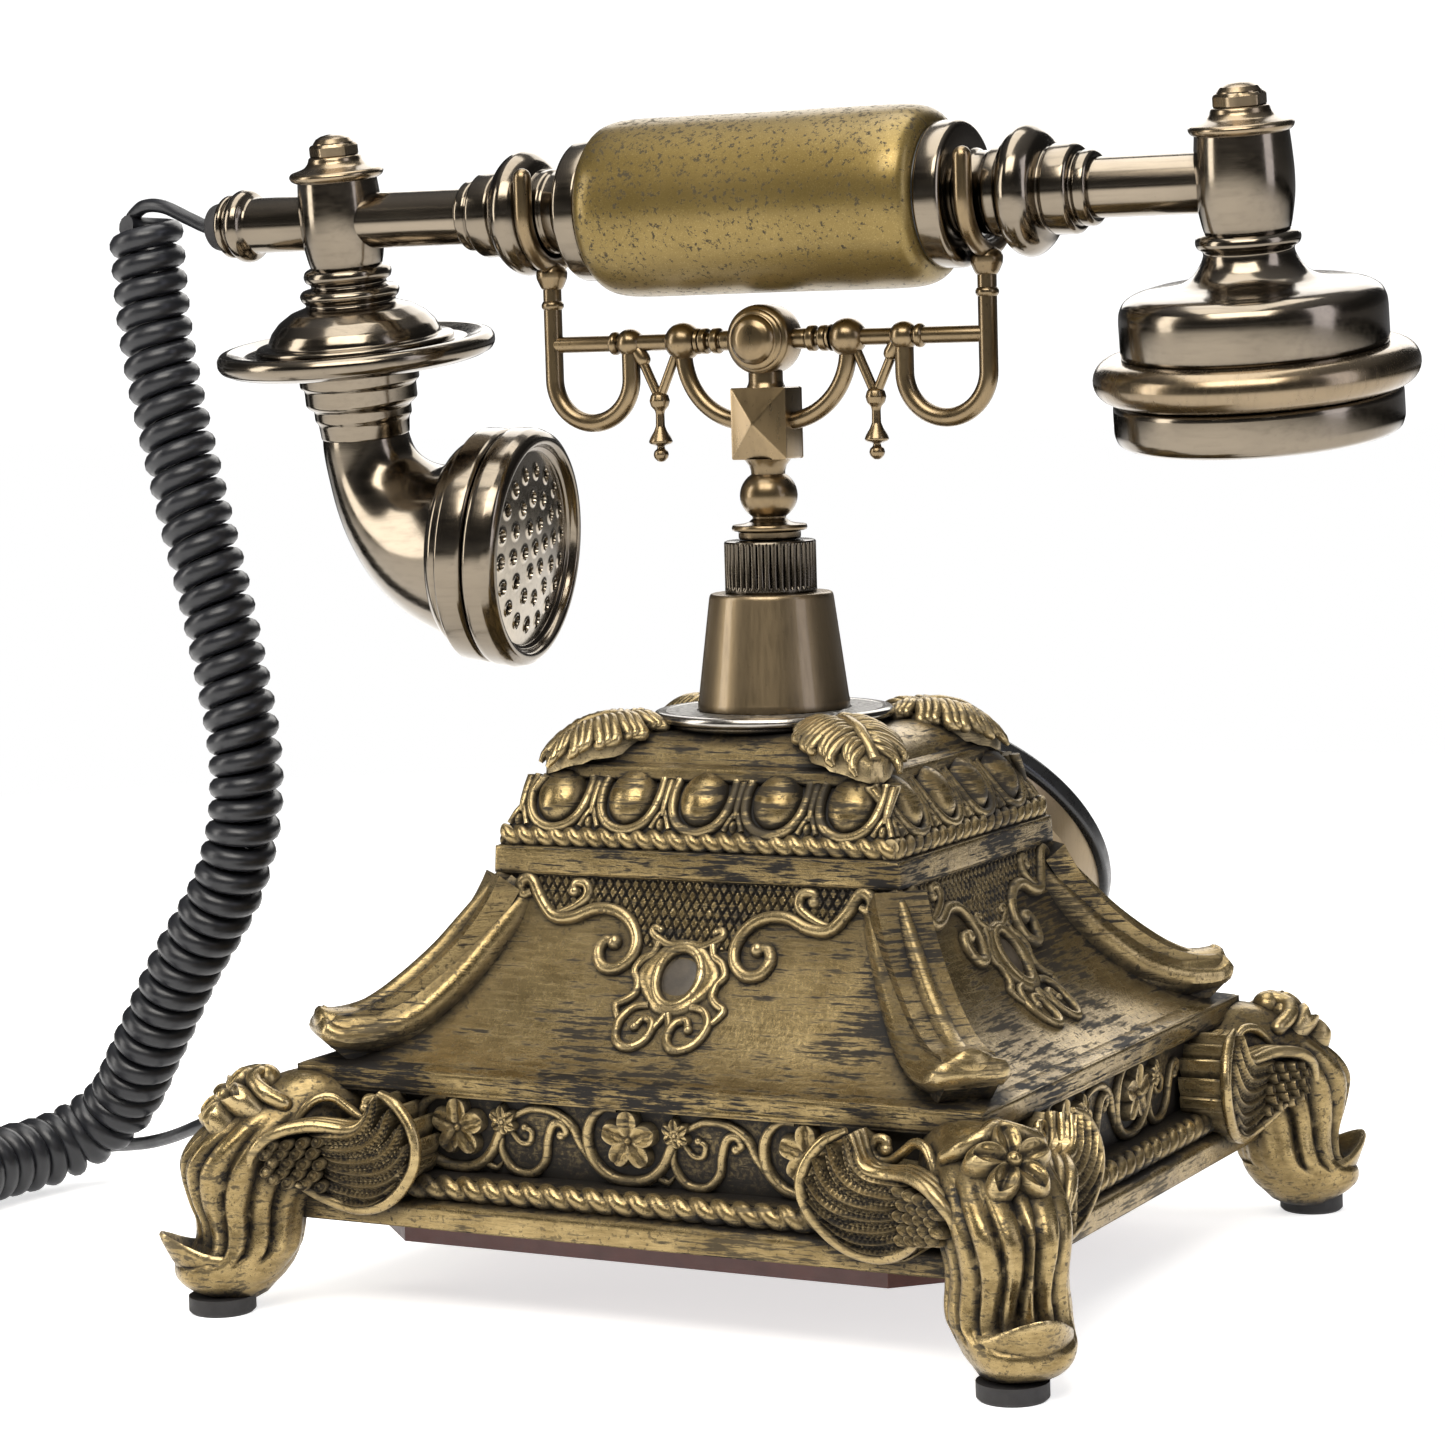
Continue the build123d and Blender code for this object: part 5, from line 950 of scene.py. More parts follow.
def arc_through(a, b, c, count=16):
    """Points on the circle through a, b and c, from a to c."""
    (ax, ay), (bx, by), (cx, cy) = a, b, c
    d = 2 * (ax * (by - cy) + bx * (cy - ay) + cx * (ay - by))
    sa, sb, sc = ax * ax + ay * ay, bx * bx + by * by, cx * cx + cy * cy
    ux = (sa * (by - cy) + sb * (cy - ay) + sc * (ay - by)) / d
    uy = (sa * (cx - bx) + sb * (ax - cx) + sc * (bx - ax)) / d
    r = math.hypot(ax - ux, ay - uy)
    t0, tb, t1 = (math.atan2(y - uy, x - ux) for x, y in (a, b, c))
    if not min(t0, t1) <= tb <= max(t0, t1):
        t0, t1 = t0 % (2 * math.pi), t1 % (2 * math.pi)
    return [(ux + r * math.cos(t), uy + r * math.sin(t)) for t in np.linspace(t0, t1, count)]


PANEL = arc_through((-8.6, 46.2), (-25.7, 59.7), (-34.0, WALL_TOP_Z), 40)
COVE = arc_through((-35.0, 87.6), (-38.2, 92.8), (-41.4, 96.4), 16)
CURVES = {
    "frieze": np.array([(-8.0, 26.9), (-7.9, 28.0), (-7.1, 40.0), (-7.0, 41.0)]),
    "panel": np.array(PANEL), "cove": np.array(COVE),
}


def on_face(side, curve, s, z, lift=0.0):
    """Points on one side of the base at distance s along it and height z; lift is outwards."""
    outward, along, out, _ = SIDES[side]
    points = CURVES[curve]
    slope = np.gradient(points, axis=0)
    slope /= np.linalg.norm(slope, axis=1)[:, None]
    s, z = np.asarray(s, float), np.asarray(z, float)
    offset = np.interp(z, points[:, 1], points[:, 0])
    t_out = np.interp(z, points[:, 1], slope[:, 0])
    t_up = np.interp(z, points[:, 1], slope[:, 1])
    lift = np.asarray(lift, float)
    flat = out + offset + lift * t_up
    return (s[..., None] * along + flat[..., None] * outward
            + (z - lift * t_out)[..., None] * Z)


def face_place(side, curve, s, z, angle=0.0, lift=0.0):
    """(origin, along, across, normal) on a side, turned by angle in the face."""
    along = SIDES[side][1]
    origin = on_face(side, curve, s, z, lift)
    normal = unit(on_face(side, curve, s, z, 1.0) - on_face(side, curve, s, z, 0.0))
    up = np.cross(normal, along)
    c, s_ = turn(angle)
    return origin, c * along + s_ * up, -s_ * along + c * up, normal


def vine(side, curve, points, radius, taper=(1.0, 1.0), lift=0.35, per_span=5, sides=9, tip=0.0):
    path = smooth_curve(points, per_span)
    n = len(path)
    width = radius * np.interp(np.linspace(0, 1, n), np.linspace(0, 1, len(taper)), taper)
    line = on_face(side, curve, path[:, 0], path[:, 1], lift * width)
    made = [sweep(line, width, sides)]
    if tip:
        made.append(ball(line[-1], tip, 12))
    return made


def lens(place, length, width, height, groove=0.0, rim=0.0, point=0.0, sink=1.0, rings=7,
         count=22, bend=0.0):
    """Domed leaf shape: place is (origin, along, across, normal)."""
    origin, ex, ey, ez = place
    rho = np.linspace(0, 1, rings)[:, None]
    phi = (2 * math.pi * np.arange(count) / count)[None, :]
    squeeze = 1 - point * np.clip(np.cos(phi), 0, 1) ** 2 * rho
    x = length * rho * np.cos(phi)
    y = width * rho * np.sin(phi) * squeeze
    h = height * (1 - rho ** 2.2) ** 0.62 + rim * np.exp(-((rho - 0.78) / 0.14) ** 2)
    h = h - groove * np.exp(-(y / (0.24 * width)) ** 2) * (1 - rho ** 5)
    h = h - bend * (x / length) ** 2
    top = (origin + x[..., None] * ex + y[..., None] * ey + h[..., None] * ez)
    low = top[-1] - sink * ez
    return skin(np.concatenate([top, low[None]]))


def around(profile, corner=0.7):
    """Closed (set-in, height) outline carried round the four sides."""
    rows = []
    for offset, z in profile:
        hx, hy = BASE_X + offset - corner, BASE_Y + offset - corner
        ring = []
        for k, (cx, cy) in enumerate(CORNERS):
            for step in range(5):
                c, s = turn(90 * k + 22.5 * step)
                ring.append((cx * hx + corner * c, cy * hy + corner * s, z))
            nx, ny = CORNERS[(k + 1) % 4]
            a = np.array(ring[-1])
            c, s = turn(90 * (k + 1))
            b = np.array((nx * hx + corner * c, ny * hy + corner * s, z))
            for u in np.linspace(0, 1, 30)[1:-1]:
                ring.append(tuple(a + (b - a) * u))
        rows.append(ring)
    return skin(np.array(rows), ring=True)


def edge_band(points, radius=0.6):
    return around(soften(points, radius, closed=True))


golden("plinth_band", [edge_band([(-6, 17.25), (0.1, 17.25), (0.15, 21.2), (-0.5, 21.9), (-3.2, 22.4),
                                  (-6, 22.4)])], GOLD_SMOOTH)
golden("slab_band", [edge_band([(-9, 41.1), (-5.4, 41.1), (-4.8, 41.9), (-5.0, 42.6), (-4.9, 45.0),
                                (-5.4, 45.6), (-8.2, 46.3), (-12, 46.3), (-12, 41.1)], 0.5)],
       GOLD_WORN)
golden("upper_band", [edge_band([(-37, 79.0), (-33.2, 79.0), (-32.8, 79.6), (-33.0, 83.9),
                                 (-33.5, 84.4), (-37, 84.4)], 0.5)],
       GOLD_WORN)
golden("rim_band", [edge_band([(-44, 96.5), (-41.0, 96.5), (-40.3, 97.0), (-40.5, 98.9),
                               (-41.6, 99.5), (-43.2, 99.9), (-46, 99.9)], 0.45)],
       GOLD_SMOOTH)
crown_arc = arc_through((-42.8, 99.7), (-46.2, 103.5), (-52.0, 105.15), 14)
crown = [(-56, 99.0), (-42.8, 99.0)] + crown_arc + [(-60.0, 105.2), (-60, 99.0)]
golden("crown_pillow", [around(np.array(crown), 3.0)], GOLD_SMOOTH)


def rope(side, offset, z, radius, pitch, lean, reach):
    """Twisted rope moulding along one side."""
    outward, along, out, _ = SIDES[side]
    s = np.arange(-reach, reach + 0.01, 0.36)[:, None]
    theta = (2 * math.pi * np.arange(22) / 22)[None, :]
    wrapped = (theta + math.pi) % (2 * math.pi) - math.pi
    lobe = np.abs(np.cos(math.pi * (s / pitch + lean * wrapped)))
    r = radius * (0.42 + 0.62 * lobe ** 0.45)
    rows = (s[..., None] * along + (out + offset + r * np.cos(theta))[..., None] * outward
            + (z + r * 1.05 * np.sin(theta))[..., None] * Z)
    return skin(rows)


for label, offset, z, radius, pitch in (("lower", -3.3, 24.5, 2.25, 4.4),
                                             ("upper", -35.2, 86.0, 2.05, 3.6)):
    strands = []
    for side, (_, _, _, half) in SIDES.items():
        lean = 0.34 if side in LONG_SIDES else -0.34
        strands.append(rope(side, offset, z, radius, pitch, lean, half + offset + 1.2))
    golden("rope_" + label, strands, GOLD, sharp=60)


# ---- frieze: scrolling vine with flowers and buds
def flower(side, curve, s, z, size=5.5, spin=18.0, lift=0.5):
    made = []
    for k in range(5):
        angle = spin + 72 * k
        c, s_ = turn(angle)
        made.append(lens(face_place(side, curve, s + 0.56 * size * c, z + 0.56 * size * s_, angle,
                                    lift), 0.52 * size, 0.43 * size, 1.6, 0.7, 0.6, -0.25))
    made.append(lens(face_place(side, curve, s, z, 0, lift), 0.95, 0.95, 1.9, 0, 0.15))
    return made


def bud(side, curve, s, z, lift=0.2):
    made = []
    for angle, reach, size in ((95, 2.2, 1.5), (35, 2.2, 1.4), (150, 2.2, 1.4), (-25, 2.0, 1.3),
                               (-150, 1.9, 1.2), (-80, 1.8, 1.1)):
        c, s_ = turn(angle)
        made.append(lens(face_place(side, curve, s + reach * 0.6 * c, z + reach * 0.6 * s_, angle,
                                    lift), 1.45 * size, 1.2, 1.8, 0.6, 0.35, 0.1, rings=6, count=16))
    made.append(lens(face_place(side, curve, s, z, 0, lift), 0.8, 0.8, 1.8, 0, 0, rings=4, count=10))
    return made


def frieze_run(side, c, z=35.0, lead=True, follow=True):
    """One repeat of the vine, round a flower at c."""
    def shifted(points):
        return [(c + a, z + b) for a, b in points]
    made = flower(side, "frieze", c, z + 0.6)
    made += vine(side, "frieze", shifted(
        [(-2.6, 5.9), (-5.4, 5.9), (-8.0, 3.6), (-8.9, 0.2), (-8.0, -3.6), (-5.0, -6.4),
         (-1.0, -7.3), (3.2, -6.6), (6.4, -4.0), (8.4, -0.2), (9.4, 1.6)]), 1.12, (0.5, 1, 1, 1, 0.9))
    made += vine(side, "frieze", shifted([(4.8, -5.9), (7.2, -6.9), (8.6, -5.6)]), 0.7, (1, 0.9, 0.3))
    made += vine(side, "frieze", shifted([(-4.6, 5.8), (-6.6, 6.6), (-8.0, 5.9)]), 0.6, (1, 0.9, 0.3))
    if lead:
        made += vine(side, "frieze", shifted(
            [(-24.6, 3.0), (-20.4, 4.9), (-15.8, 4.6), (-12.2, 2.4), (-10.4, -1.2), (-8.2, -4.2)]),
            0.9, (0.6, 1, 1, 1, 0.8))
    if follow:
        made += bud(side, "frieze", c + 9.6, z + 2.2)
        made += vine(side, "frieze", shifted(
            [(9.0, 0.6), (8.6, -3.2), (10.8, -6.8), (14.8, -7.4), (17.8, -4.8), (18.6, -1.0),
             (19.8, 2.0), (21.8, 2.6), (22.6, 1.0), (21.4, 0.2)]), 0.9, (0.6, 1, 1, 1, 1, 0.7),
            tip=0.95)
        made += vine(side, "frieze", shifted(
            [(10.6, 0.8), (12.6, -1.6), (14.6, -1.6), (15.2, 0.4), (13.8, 1.2)]), 0.65,
            (0.8, 1, 0.8), tip=0.8)
    return made


vines = []
for side, centres in (("back", (-36, 0, 36)), ("front", (-36, 0, 36)), ("left", (-26, 10)),
                      ("right", (-1,))):
    for i, c in enumerate(centres):
        plain_end = (side in LONG_SIDES and c > 30) or side == "right"
        vines += frieze_run(side, c, lead=i > 0, follow=not plain_end)
golden("frieze_vines", vines, GOLD, sharp=50)

# ---- concave panels: lattice, scrolls and cartouche
LATTICE_FOOT = [(0, 66.5), (9.5, 66.5), (11, 69.5), (15.7, 72.6), (20.2, 73.0), (24.6, 71.3),
                (28.7, 71.0), (32.2, 73.9), (34.6, 77.4), (60, 77.4)]


def panel_relief(side):
    """Height field of the panel's lattice, as a closed slab let into the wall."""
    z = np.linspace(65.8, 78.9, 58)
    s = np.arange(-37.5, 37.6, 0.25)
    if side in ("left", "right"):
        s = np.arange(-31, 31.1, 0.25)
    ss, zz = np.meshgrid(s, z, indexing="ij")
    reach = np.abs(ss) * (1.0 if side in LONG_SIDES else 1.16)
    foot = np.interp(reach, [p[0] for p in LATTICE_FOOT], [p[1] for p in LATTICE_FOOT])
    inside = np.clip((zz - foot) / 0.5, 0, 1)
    lines = []
    for slope in (1, -1):
        phase = (ss * slope * 0.866 + zz * 0.5) / 1.62
        frac = np.abs(phase - np.round(phase))
        lines.append(np.clip(1 - frac / 0.17, 0, 1))
    groove = np.maximum(lines[0], lines[1])
    h = np.where(inside > 0, 0.55 - 0.75 * groove, 0) * inside - 0.25 * (1 - inside)
    front = on_face(side, "panel", ss, np.minimum(zz, WALL_TOP_Z), h)
    front[..., 2] += np.maximum(zz - WALL_TOP_Z, 0)
    back = on_face(side, "panel", ss, np.minimum(zz, WALL_TOP_Z), np.full(ss.shape, -1.6))
    back[..., 2] += np.maximum(zz - WALL_TOP_Z, 0)
    return slab(front, back)


def scrollwork(side):
    """Scrolls on a panel; the front has the dial where the others have a cartouche."""
    squeeze = 1.0 if side in LONG_SIDES else SHORT_SQUEEZE
    made = []
    for flip in (-1, 1):
        def put(points):
            return [(flip * a * squeeze, b) for a, b in points]
        made += vine(side, "panel", put(
            [(34.6, 75.6), (36.2, 75.0), (37.0, 76.4), (36.2, 77.8), (34.4, 77.8), (32.2, 74.4),
             (28.9, 71.2), (24.6, 71.3), (20.2, 73.0), (15.7, 72.8), (12.2, 70.8), (10.4, 67.6),
             (10.9, 64.6), (13.6, 62.6), (16.6, 63.0), (18.0, 65.4), (17.0, 67.4), (15.0, 67.2)]),
            1.25, (0.6, 1, 1, 1, 1, 1, 1, 1, 0.8), tip=1.5)
        made += vine(side, "panel", put(
            [(29.6, 71.5), (25.6, 72.8), (22.4, 75.0), (22.6, 77.4), (25.0, 77.6), (25.2, 76.0)]),
            1.05, (0.7, 1, 1, 0.7), tip=1.2)
        if side == "front":
            continue
        made += vine(side, "panel", put(
            [(0, 67.4), (3.2, 67.2), (6.0, 68.3), (7.4, 69.3), (7.0, 70.2), (5.8, 69.8)]), 0.85,
            (1, 1, 0.8), tip=0.8)
        made += vine(side, "panel", put(
            [(5.6, 67.6), (6.4, 65.6), (8.4, 64.4), (9.4, 62.4), (8.2, 60.8), (8.0, 58.9),
             (9.4, 57.6), (11.2, 56.6), (9.6, 54.6), (8.6, 55.4)]), 0.9, (0.9, 1, 1, 1, 0.6))
        made += vine(side, "panel", put(
            [(4.4, 57.0), (7.4, 56.4), (9.2, 54.0), (8.0, 51.2), (4.8, 50.2), (2.2, 51.6),
             (2.2, 54.0), (4.4, 54.8), (5.6, 53.4)]), 0.95, (0.8, 1, 1, 1, 0.8), tip=0.95)
        made += vine(side, "panel", put([(0.2, 55.6), (1.6, 53.4), (2.2, 51.6)]), 0.8)
    if side != "front":
        oval = [(4.6 * turn(t)[0] * squeeze, CARTOUCHE_Z + 4.9 * turn(t)[1]) for t in range(0, 361, 15)]
        made += vine(side, "panel", oval, 1.05, per_span=2)
    return made


def cartouche(side):
    """Plate of the cartouche: raised round a sunk oval."""
    squeeze = 1.0 if side in LONG_SIDES else SHORT_SQUEEZE
    count = 48
    phi = 2 * math.pi * np.arange(count) / count
    rows = []
    for rho, h in ((0.0, -0.1), (0.3, 0.0), (0.6, -0.05), (0.9, -0.1), (1.0, 0.3), (1.1, 0.85),
                   (1.35, 1.0), (1.6, 0.95), (1.75, 0.5), (1.8, -0.8)):
        wide = 4.5 * rho * squeeze * (1 + (0.10 * np.cos(4 * phi) if rho > 1.2 else 0))
        tall = 4.7 * rho * (0.78 if rho > 1.2 else 1.0)
        rows.append(on_face(side, "panel", wide * np.cos(phi), CARTOUCHE_Z + tall * np.sin(phi),
                            np.full(count, h)))
    return skin(np.array(rows))


golden("panel_lattice_long", [panel_relief("back"), panel_relief("front")], GOLD_RELIEF, sharp=30)
golden("panel_lattice_short", [panel_relief("left"), panel_relief("right")], GOLD_RELIEF, sharp=30)
scrolls = []
for side in SIDES:
    scrolls += scrollwork(side)
    if side != "front":
        scrolls.append(cartouche(side))
golden("panel_scrollwork", scrolls, GOLD, sharp=50)
hollows = [lens(face_place(side, "panel", 0, CARTOUCHE_Z, 90, 0.0), 4.6, 4.2, 0.35, rings=5, count=28)
           for side in SIDES if side != "front"]
golden("cartouche_hollows", hollows, BLACK_WASH)

# ---- egg and dart cove
eggs = []
for side, centres in (("back", (-30.6, -15.3, 0, 15.3, 30.6)), ("front", (-30.6, -15.3, 0, 15.3, 30.6)),
                      ("left", (-22.2, -7.4, 7.4, 22.2)), ("right", (-22.2, -7.4, 7.4, 22.2))):
    gap = centres[1] - centres[0]
    wide = gap / 15.3
    for c in centres:
        eggs.append(lens(face_place(side, "cove", c, 93.8, 90, -0.2), 6.0, 4.9 * wide, 3.2,
                         sink=1.2, rings=9, count=32))
        shell = [(-6.0, 96.8), (-6.2, 94.0), (-5.4, 90.8), (-3.3, 88.6), (0, 87.7), (3.3, 88.6),
                 (5.4, 90.8), (6.2, 94.0), (6.0, 96.8)]
        eggs += vine(side, "cove", [(c + a * wide, b) for a, b in shell], 1.0, per_span=4)
    for c in [centres[0] - gap / 2] + [x + gap / 2 for x in centres]:
        eggs += vine(side, "cove", [(c, 96.8), (c, 94.6), (c, 92.0), (c, 90.4)], 0.95,
                     (1.1, 1.0, 0.8, 0.5))
        for flip in (-1, 1):
            eggs += vine(side, "cove", [(c, 92.0), (c + flip * 0.9, 90.2), (c + flip * 1.9 * wide, 88.2)],
                         0.7, (0.5, 0.9, 0.8))
        eggs.append(lens(face_place(side, "cove", c, 88.9, 90, 0), 1.3, 0.8, 1.3, rings=5, count=12))
golden("egg_and_dart", eggs, GOLD_RELIEF, sharp=50)


# ---- pieces that repeat at the four corners
def at_corners(parts):
    """The same parts in the four corners; they are given for the +X +Y corner."""
    made = []
    for part in parts:
        mirrored_x = mirrored(part, 0)
        made += [part, mirrored_x, mirrored(part, 1), mirrored(mirrored_x, 1)]
    return made


DIAG = unit([1, 1, 0])
CROSS = unit([-1, 1, 0])


def corner_point(a, z, across=0.0):
    """Point on the corner line: a is the half width there, and the half depth is less."""
    return np.array([a, a - DEPTH_LESS, z]) + across * CROSS


# buttress: moulded band with a bead between two grooves, ending in an upturned toe
half_section = [(0.0, 0.35), (0.8, 0.25), (1.5, -0.25), (2.0, -1.1), (2.35, -1.9), (2.8, -1.7),
                (3.3, -1.6), (5.0, -3.1), (6.6, -4.6), (7.3, -4.9), (7.9, -5.6), (8.2, -6.6),
                (8.2, -8.4), (6.5, -10.5)]
section = np.array([(-c, o) for c, o in half_section[:0:-1]] + half_section)
spine = smooth_curve([(41.4, 79.8), (44.4, 75.6), (47.6, 71.0), (51.0, 66.2), (55.0, 61.6),
                      (59.0, 57.8), (62.4, 55.6), (65.0, 54.9), (66.6, 56.0)], 6)
rows = []
for i, (a, z) in enumerate(spine):
    u = i / (len(spine) - 1)
    step = spine[min(i + 1, len(spine) - 1)] - spine[max(i - 1, 0)]
    tangent_3d = unit(np.array([step[0], step[0], step[1]]))
    outward = unit(np.cross(CROSS, tangent_3d))
    if outward @ DIAG + outward[2] < 0:
        outward = -outward
    flare = np.interp(u, [0, 0.5, 0.75, 0.88, 0.96, 1.0], [0.62, 0.9, 1.0, 0.98, 0.78, 0.45])
    deep = np.interp(u, [0, 0.6, 0.8, 0.92, 1.0], [0.9, 0.9, 0.8, 0.62, 0.3])
    flat = np.interp(u, [0, 0.55, 0.8, 1.0], [1.0, 1.0, 0.55, 0.4])
    origin = corner_point(a, z)
    ring = []
    for c, o in section:
        drop = o * flat if o > -5.2 else (o + 5.2) * deep - 5.2 * flat
        ring.append(origin + CROSS * c * flare + outward * drop)
    rows.append(ring)
toe = []
for k, (a, z, wide, tall) in enumerate(((52.0, 51.0, 6.0, 4.4), (56.0, 50.8, 7.0, 4.8),
                                        (60.0, 50.6, 7.6, 4.9), (63.0, 50.9, 7.4, 4.6),
                                        (65.2, 51.6, 6.6, 3.9), (66.7, 52.9, 5.2, 2.9),
                                        (67.3, 54.2, 3.4, 1.9), (67.4, 55.4, 1.6, 0.8))):
    angle = 2 * math.pi * np.arange(28) / 28
    lean = np.clip((k - 3) * 11, 0, 45)
    c_, s_ = turn(lean)
    out_dir = -DIAG * s_ + Z * c_
    toe.append(corner_point(a, z) + np.outer(wide * np.cos(angle), CROSS)
               + np.outer(tall * np.sin(angle), out_dir))
golden("corner_buttresses", at_corners([skin(np.array(rows)), skin(np.array(toe))]), GOLD_SMOOTH, sharp=45)


# acanthus leaf lying over each top corner
def leaf_point(reach, across, lift=0.0):
    """Point over the crown's corner; reach is the distance from the post's axis."""
    z = np.interp(reach, [20, 26, 32, 37, 41, 44.5, 47], [105.4, 106.6, 107.0, 106.0, 103.6, 100.6, 98.0])
    direction = unit([34.9, 27.9, 0])
    other = np.array([-direction[1], direction[0], 0])
    drop = 0.055 * across ** 2
    return direction * reach + other * across + Z * (z + lift - drop)


leaf = []
spine_points = [leaf_point(r, 0, 0.5) for r in np.linspace(22.5, 44.0, 18)]
leaf.append(sweep(np.array(spine_points), np.interp(np.linspace(0, 1, 18), [0, 0.5, 1], [1.0, 1.7, 1.2]), 12))
for flip in (-1, 1):
    for root, tip_reach, spread, thick, up in (
            (27, 23.5, 5.4, 1.7, 0.9), (30, 28.5, 7.8, 2.0, 0.8), (33.5, 34.0, 8.6, 2.1, 0.6),
            (37, 39.0, 7.4, 1.9, 0.4), (40, 42.8, 4.6, 1.6, 0.2)):
        path = [(root, 0.6), ((root * 2 + tip_reach) / 3, spread * 0.42),
                ((root + tip_reach * 2) / 3, spread * 0.82), (tip_reach, spread),
                (tip_reach + 1.8, spread - 0.2)]
        curve = smooth_curve(path, 6)
        n = len(curve)
        u = np.linspace(0, 1, n)
        width = thick * np.interp(u, [0, 0.3, 0.8, 1], [0.6, 1.0, 0.95, 0.45])
        for shift, share in ((-0.75, 0.62), (0.75, 0.62), (0.0, 0.5)):
            line = [leaf_point(r + shift * w, flip * a, up + 0.9 * math.sin(math.pi * v)
                               + (0.35 if shift == 0 else 0))
                    for (r, a), v, w in zip(curve, u, width)]
            leaf.append(sweep(np.array(line), share * width, 9))
under = []
for r in np.linspace(22.5, 44.5, 16):
    wide = np.interp(r, [22.5, 27, 33, 39, 43, 44.5], [3.0, 6.2, 7.6, 6.6, 3.6, 1.4])
    ring = [leaf_point(r, a, 0.7) for a in np.linspace(-wide, wide, 11)]
    ring += [leaf_point(r, a, -3.0) for a in np.linspace(wide, -wide, 11)]
    under.append(ring)
leaf.append(skin(np.array(under)))
golden("crown_leaves", at_corners(leaf), GOLD_FINE, sharp=50)

# ---- feet, given for the +X +Y corner
FOOT_STATIONS = np.array([
    # height, outer and inner half width on the diagonal, width across
    (3.2, 84.2, 77.0, 11.4), (4.6, 86.2, 75.6, 14.4), (6.6, 87.6, 73.8, 17.4),
    (9.0, 87.6, 72.4, 19.4), (10.6, 86.2, 71.6, 20.2), (12.2, 84.9, 71.0, 20.8),
    (14.5, 84.5, 70.6, 20.8), (17.5, 84.7, 70.2, 20.0), (21.0, 85.6, 69.2, 19.6),
    (25.0, 86.3, 67.0, 20.4), (28.5, 86.3, 64.5, 21.6), (32.0, 84.8, 62.5, 22.4),
    (35.5, 81.9, 61.5, 21.6), (38.8, 78.6, 60.5, 18.8), (41.4, 75.8, 60.0, 15.0),
    (43.4, 72.8, 60.0, 10.5), (44.4, 69.5, 60.5, 5.5),
])
stations = smooth_curve(FOOT_STATIONS, 5)
columns_count = 120
angle = 2 * math.pi * np.arange(columns_count) / columns_count
grooves = [9, 31, 54, 78, 102]
rows = []
for z, outer, inner, width in stations:
    ca, sa = np.cos(angle), np.sin(angle)
    shape = (np.abs(ca) ** 2.5 + np.abs(sa) ** 2.5) ** (-1 / 2.5)
    carve = np.zeros(columns_count)
    degrees = np.degrees(np.arctan2(sa, ca))
    strength = np.interp(z, [9.5, 12.0, 15, 30, 35, 38], [0, 0.8, 1, 1, 0.7, 0])
    for k, g in enumerate(grooves):
        wander = 3.5 * math.sin(z * 0.19 + k)
        for flip in (-1, 1):
            carve += np.exp(-((degrees - flip * (g + wander)) / 3.3) ** 2)
    ridge = 0.35 * np.cos(np.radians(degrees) * 15.5) * strength
    mid, half = (outer + inner) / 2, (outer - inner) / 2 * math.sqrt(2)
    reach = shape * (half * ca)
    side_reach = shape * (width / 2 * sa)
    scale = 1 - (1.5 * carve * strength - ridge * 0.6) / (0.5 * (half + width / 2))
    rows.append(corner_point(mid, z) + np.outer(reach * scale, DIAG)
                + np.outer(side_reach * scale, CROSS))
leg = skin(np.array(rows))
bowl = []
for z, reach_d, reach_c, tip in (
        (2.4, 4.6, 5.2, 0), (3.2, 6.2, 6.3, 0), (4.6, 7.6, 7.2, 0), (6.4, 9.6, 8.4, 0.2),
        (8.4, 11.2, 9.2, 0.6), (10.2, 12.2, 9.4, 1.0), (11.2, 12.5, 9.2, 1.15), (11.6, 12.1, 8.7, 1.2),
        (11.2, 11.3, 8.1, 1.1), (9.6, 9.8, 7.2, 0.8), (8.4, 7.6, 6.0, 0.3)):
    front = np.clip(np.cos(angle), 0, 1)
    bowl.append(corner_point(79.8, z) + np.outer(reach_d * np.cos(angle) + 1.4 * tip * front ** 8, DIAG)
                + np.outer(reach_c * np.sin(angle), CROSS)
                + np.outer(3.4 * tip * front ** 3, Z))
foot_parts = [leg, skin(np.array(bowl))]
golden("feet_legs", at_corners(foot_parts), GOLD_LEGS, ["corner_feet"], 50)

# wings: feathers, scales and a curl on each side of the foot.  A feather's points are (s, z)
FEATHERS = [
    [(64, 34.6), (58, 34.3), (53, 34.6), (49.8, 36.9), (48.0, 41.6)],
    [(63, 33.2), (56.5, 31.8), (50.6, 32.6), (46.8, 35.4), (44.8, 39.9)],
    [(62, 31.4), (55.5, 29.6), (49, 30.2), (44.6, 32.8), (42.0, 37.4)],
    [(62, 29.6), (55, 27.6), (48.6, 27.8), (43.8, 29.8), (40.5, 33.9)],
    [(62, 27.8), (55.4, 25.6), (49.6, 25.3), (45, 26.7), (41.0, 30.0)],
    [(62.5, 26.2), (56.6, 23.8), (51.6, 23.0), (47.4, 23.9), (43.4, 26.6)],
    [(63.5, 24.8), (58.6, 22.3), (54.2, 21.3), (50.2, 21.6), (46.4, 23.4)],
]
FEATHER_BACK, ROOT_LENGTH = -9.2, 7.0


def wing_point(s, z, lift):
    """Point over a face near the corner; s is measured along the face from its middle."""
    s = np.asarray(s, float)
    ramp = np.clip((s - 54) / 16, 0, 1)
    base = 1.2 + 6.2 * ramp * ramp * (3 - 2 * ramp)
    crown = 1.3 * np.sin(np.pi * np.clip((np.asarray(z, float) - 20) / 22, 0, 1))
    return s, base + crown + lift, z


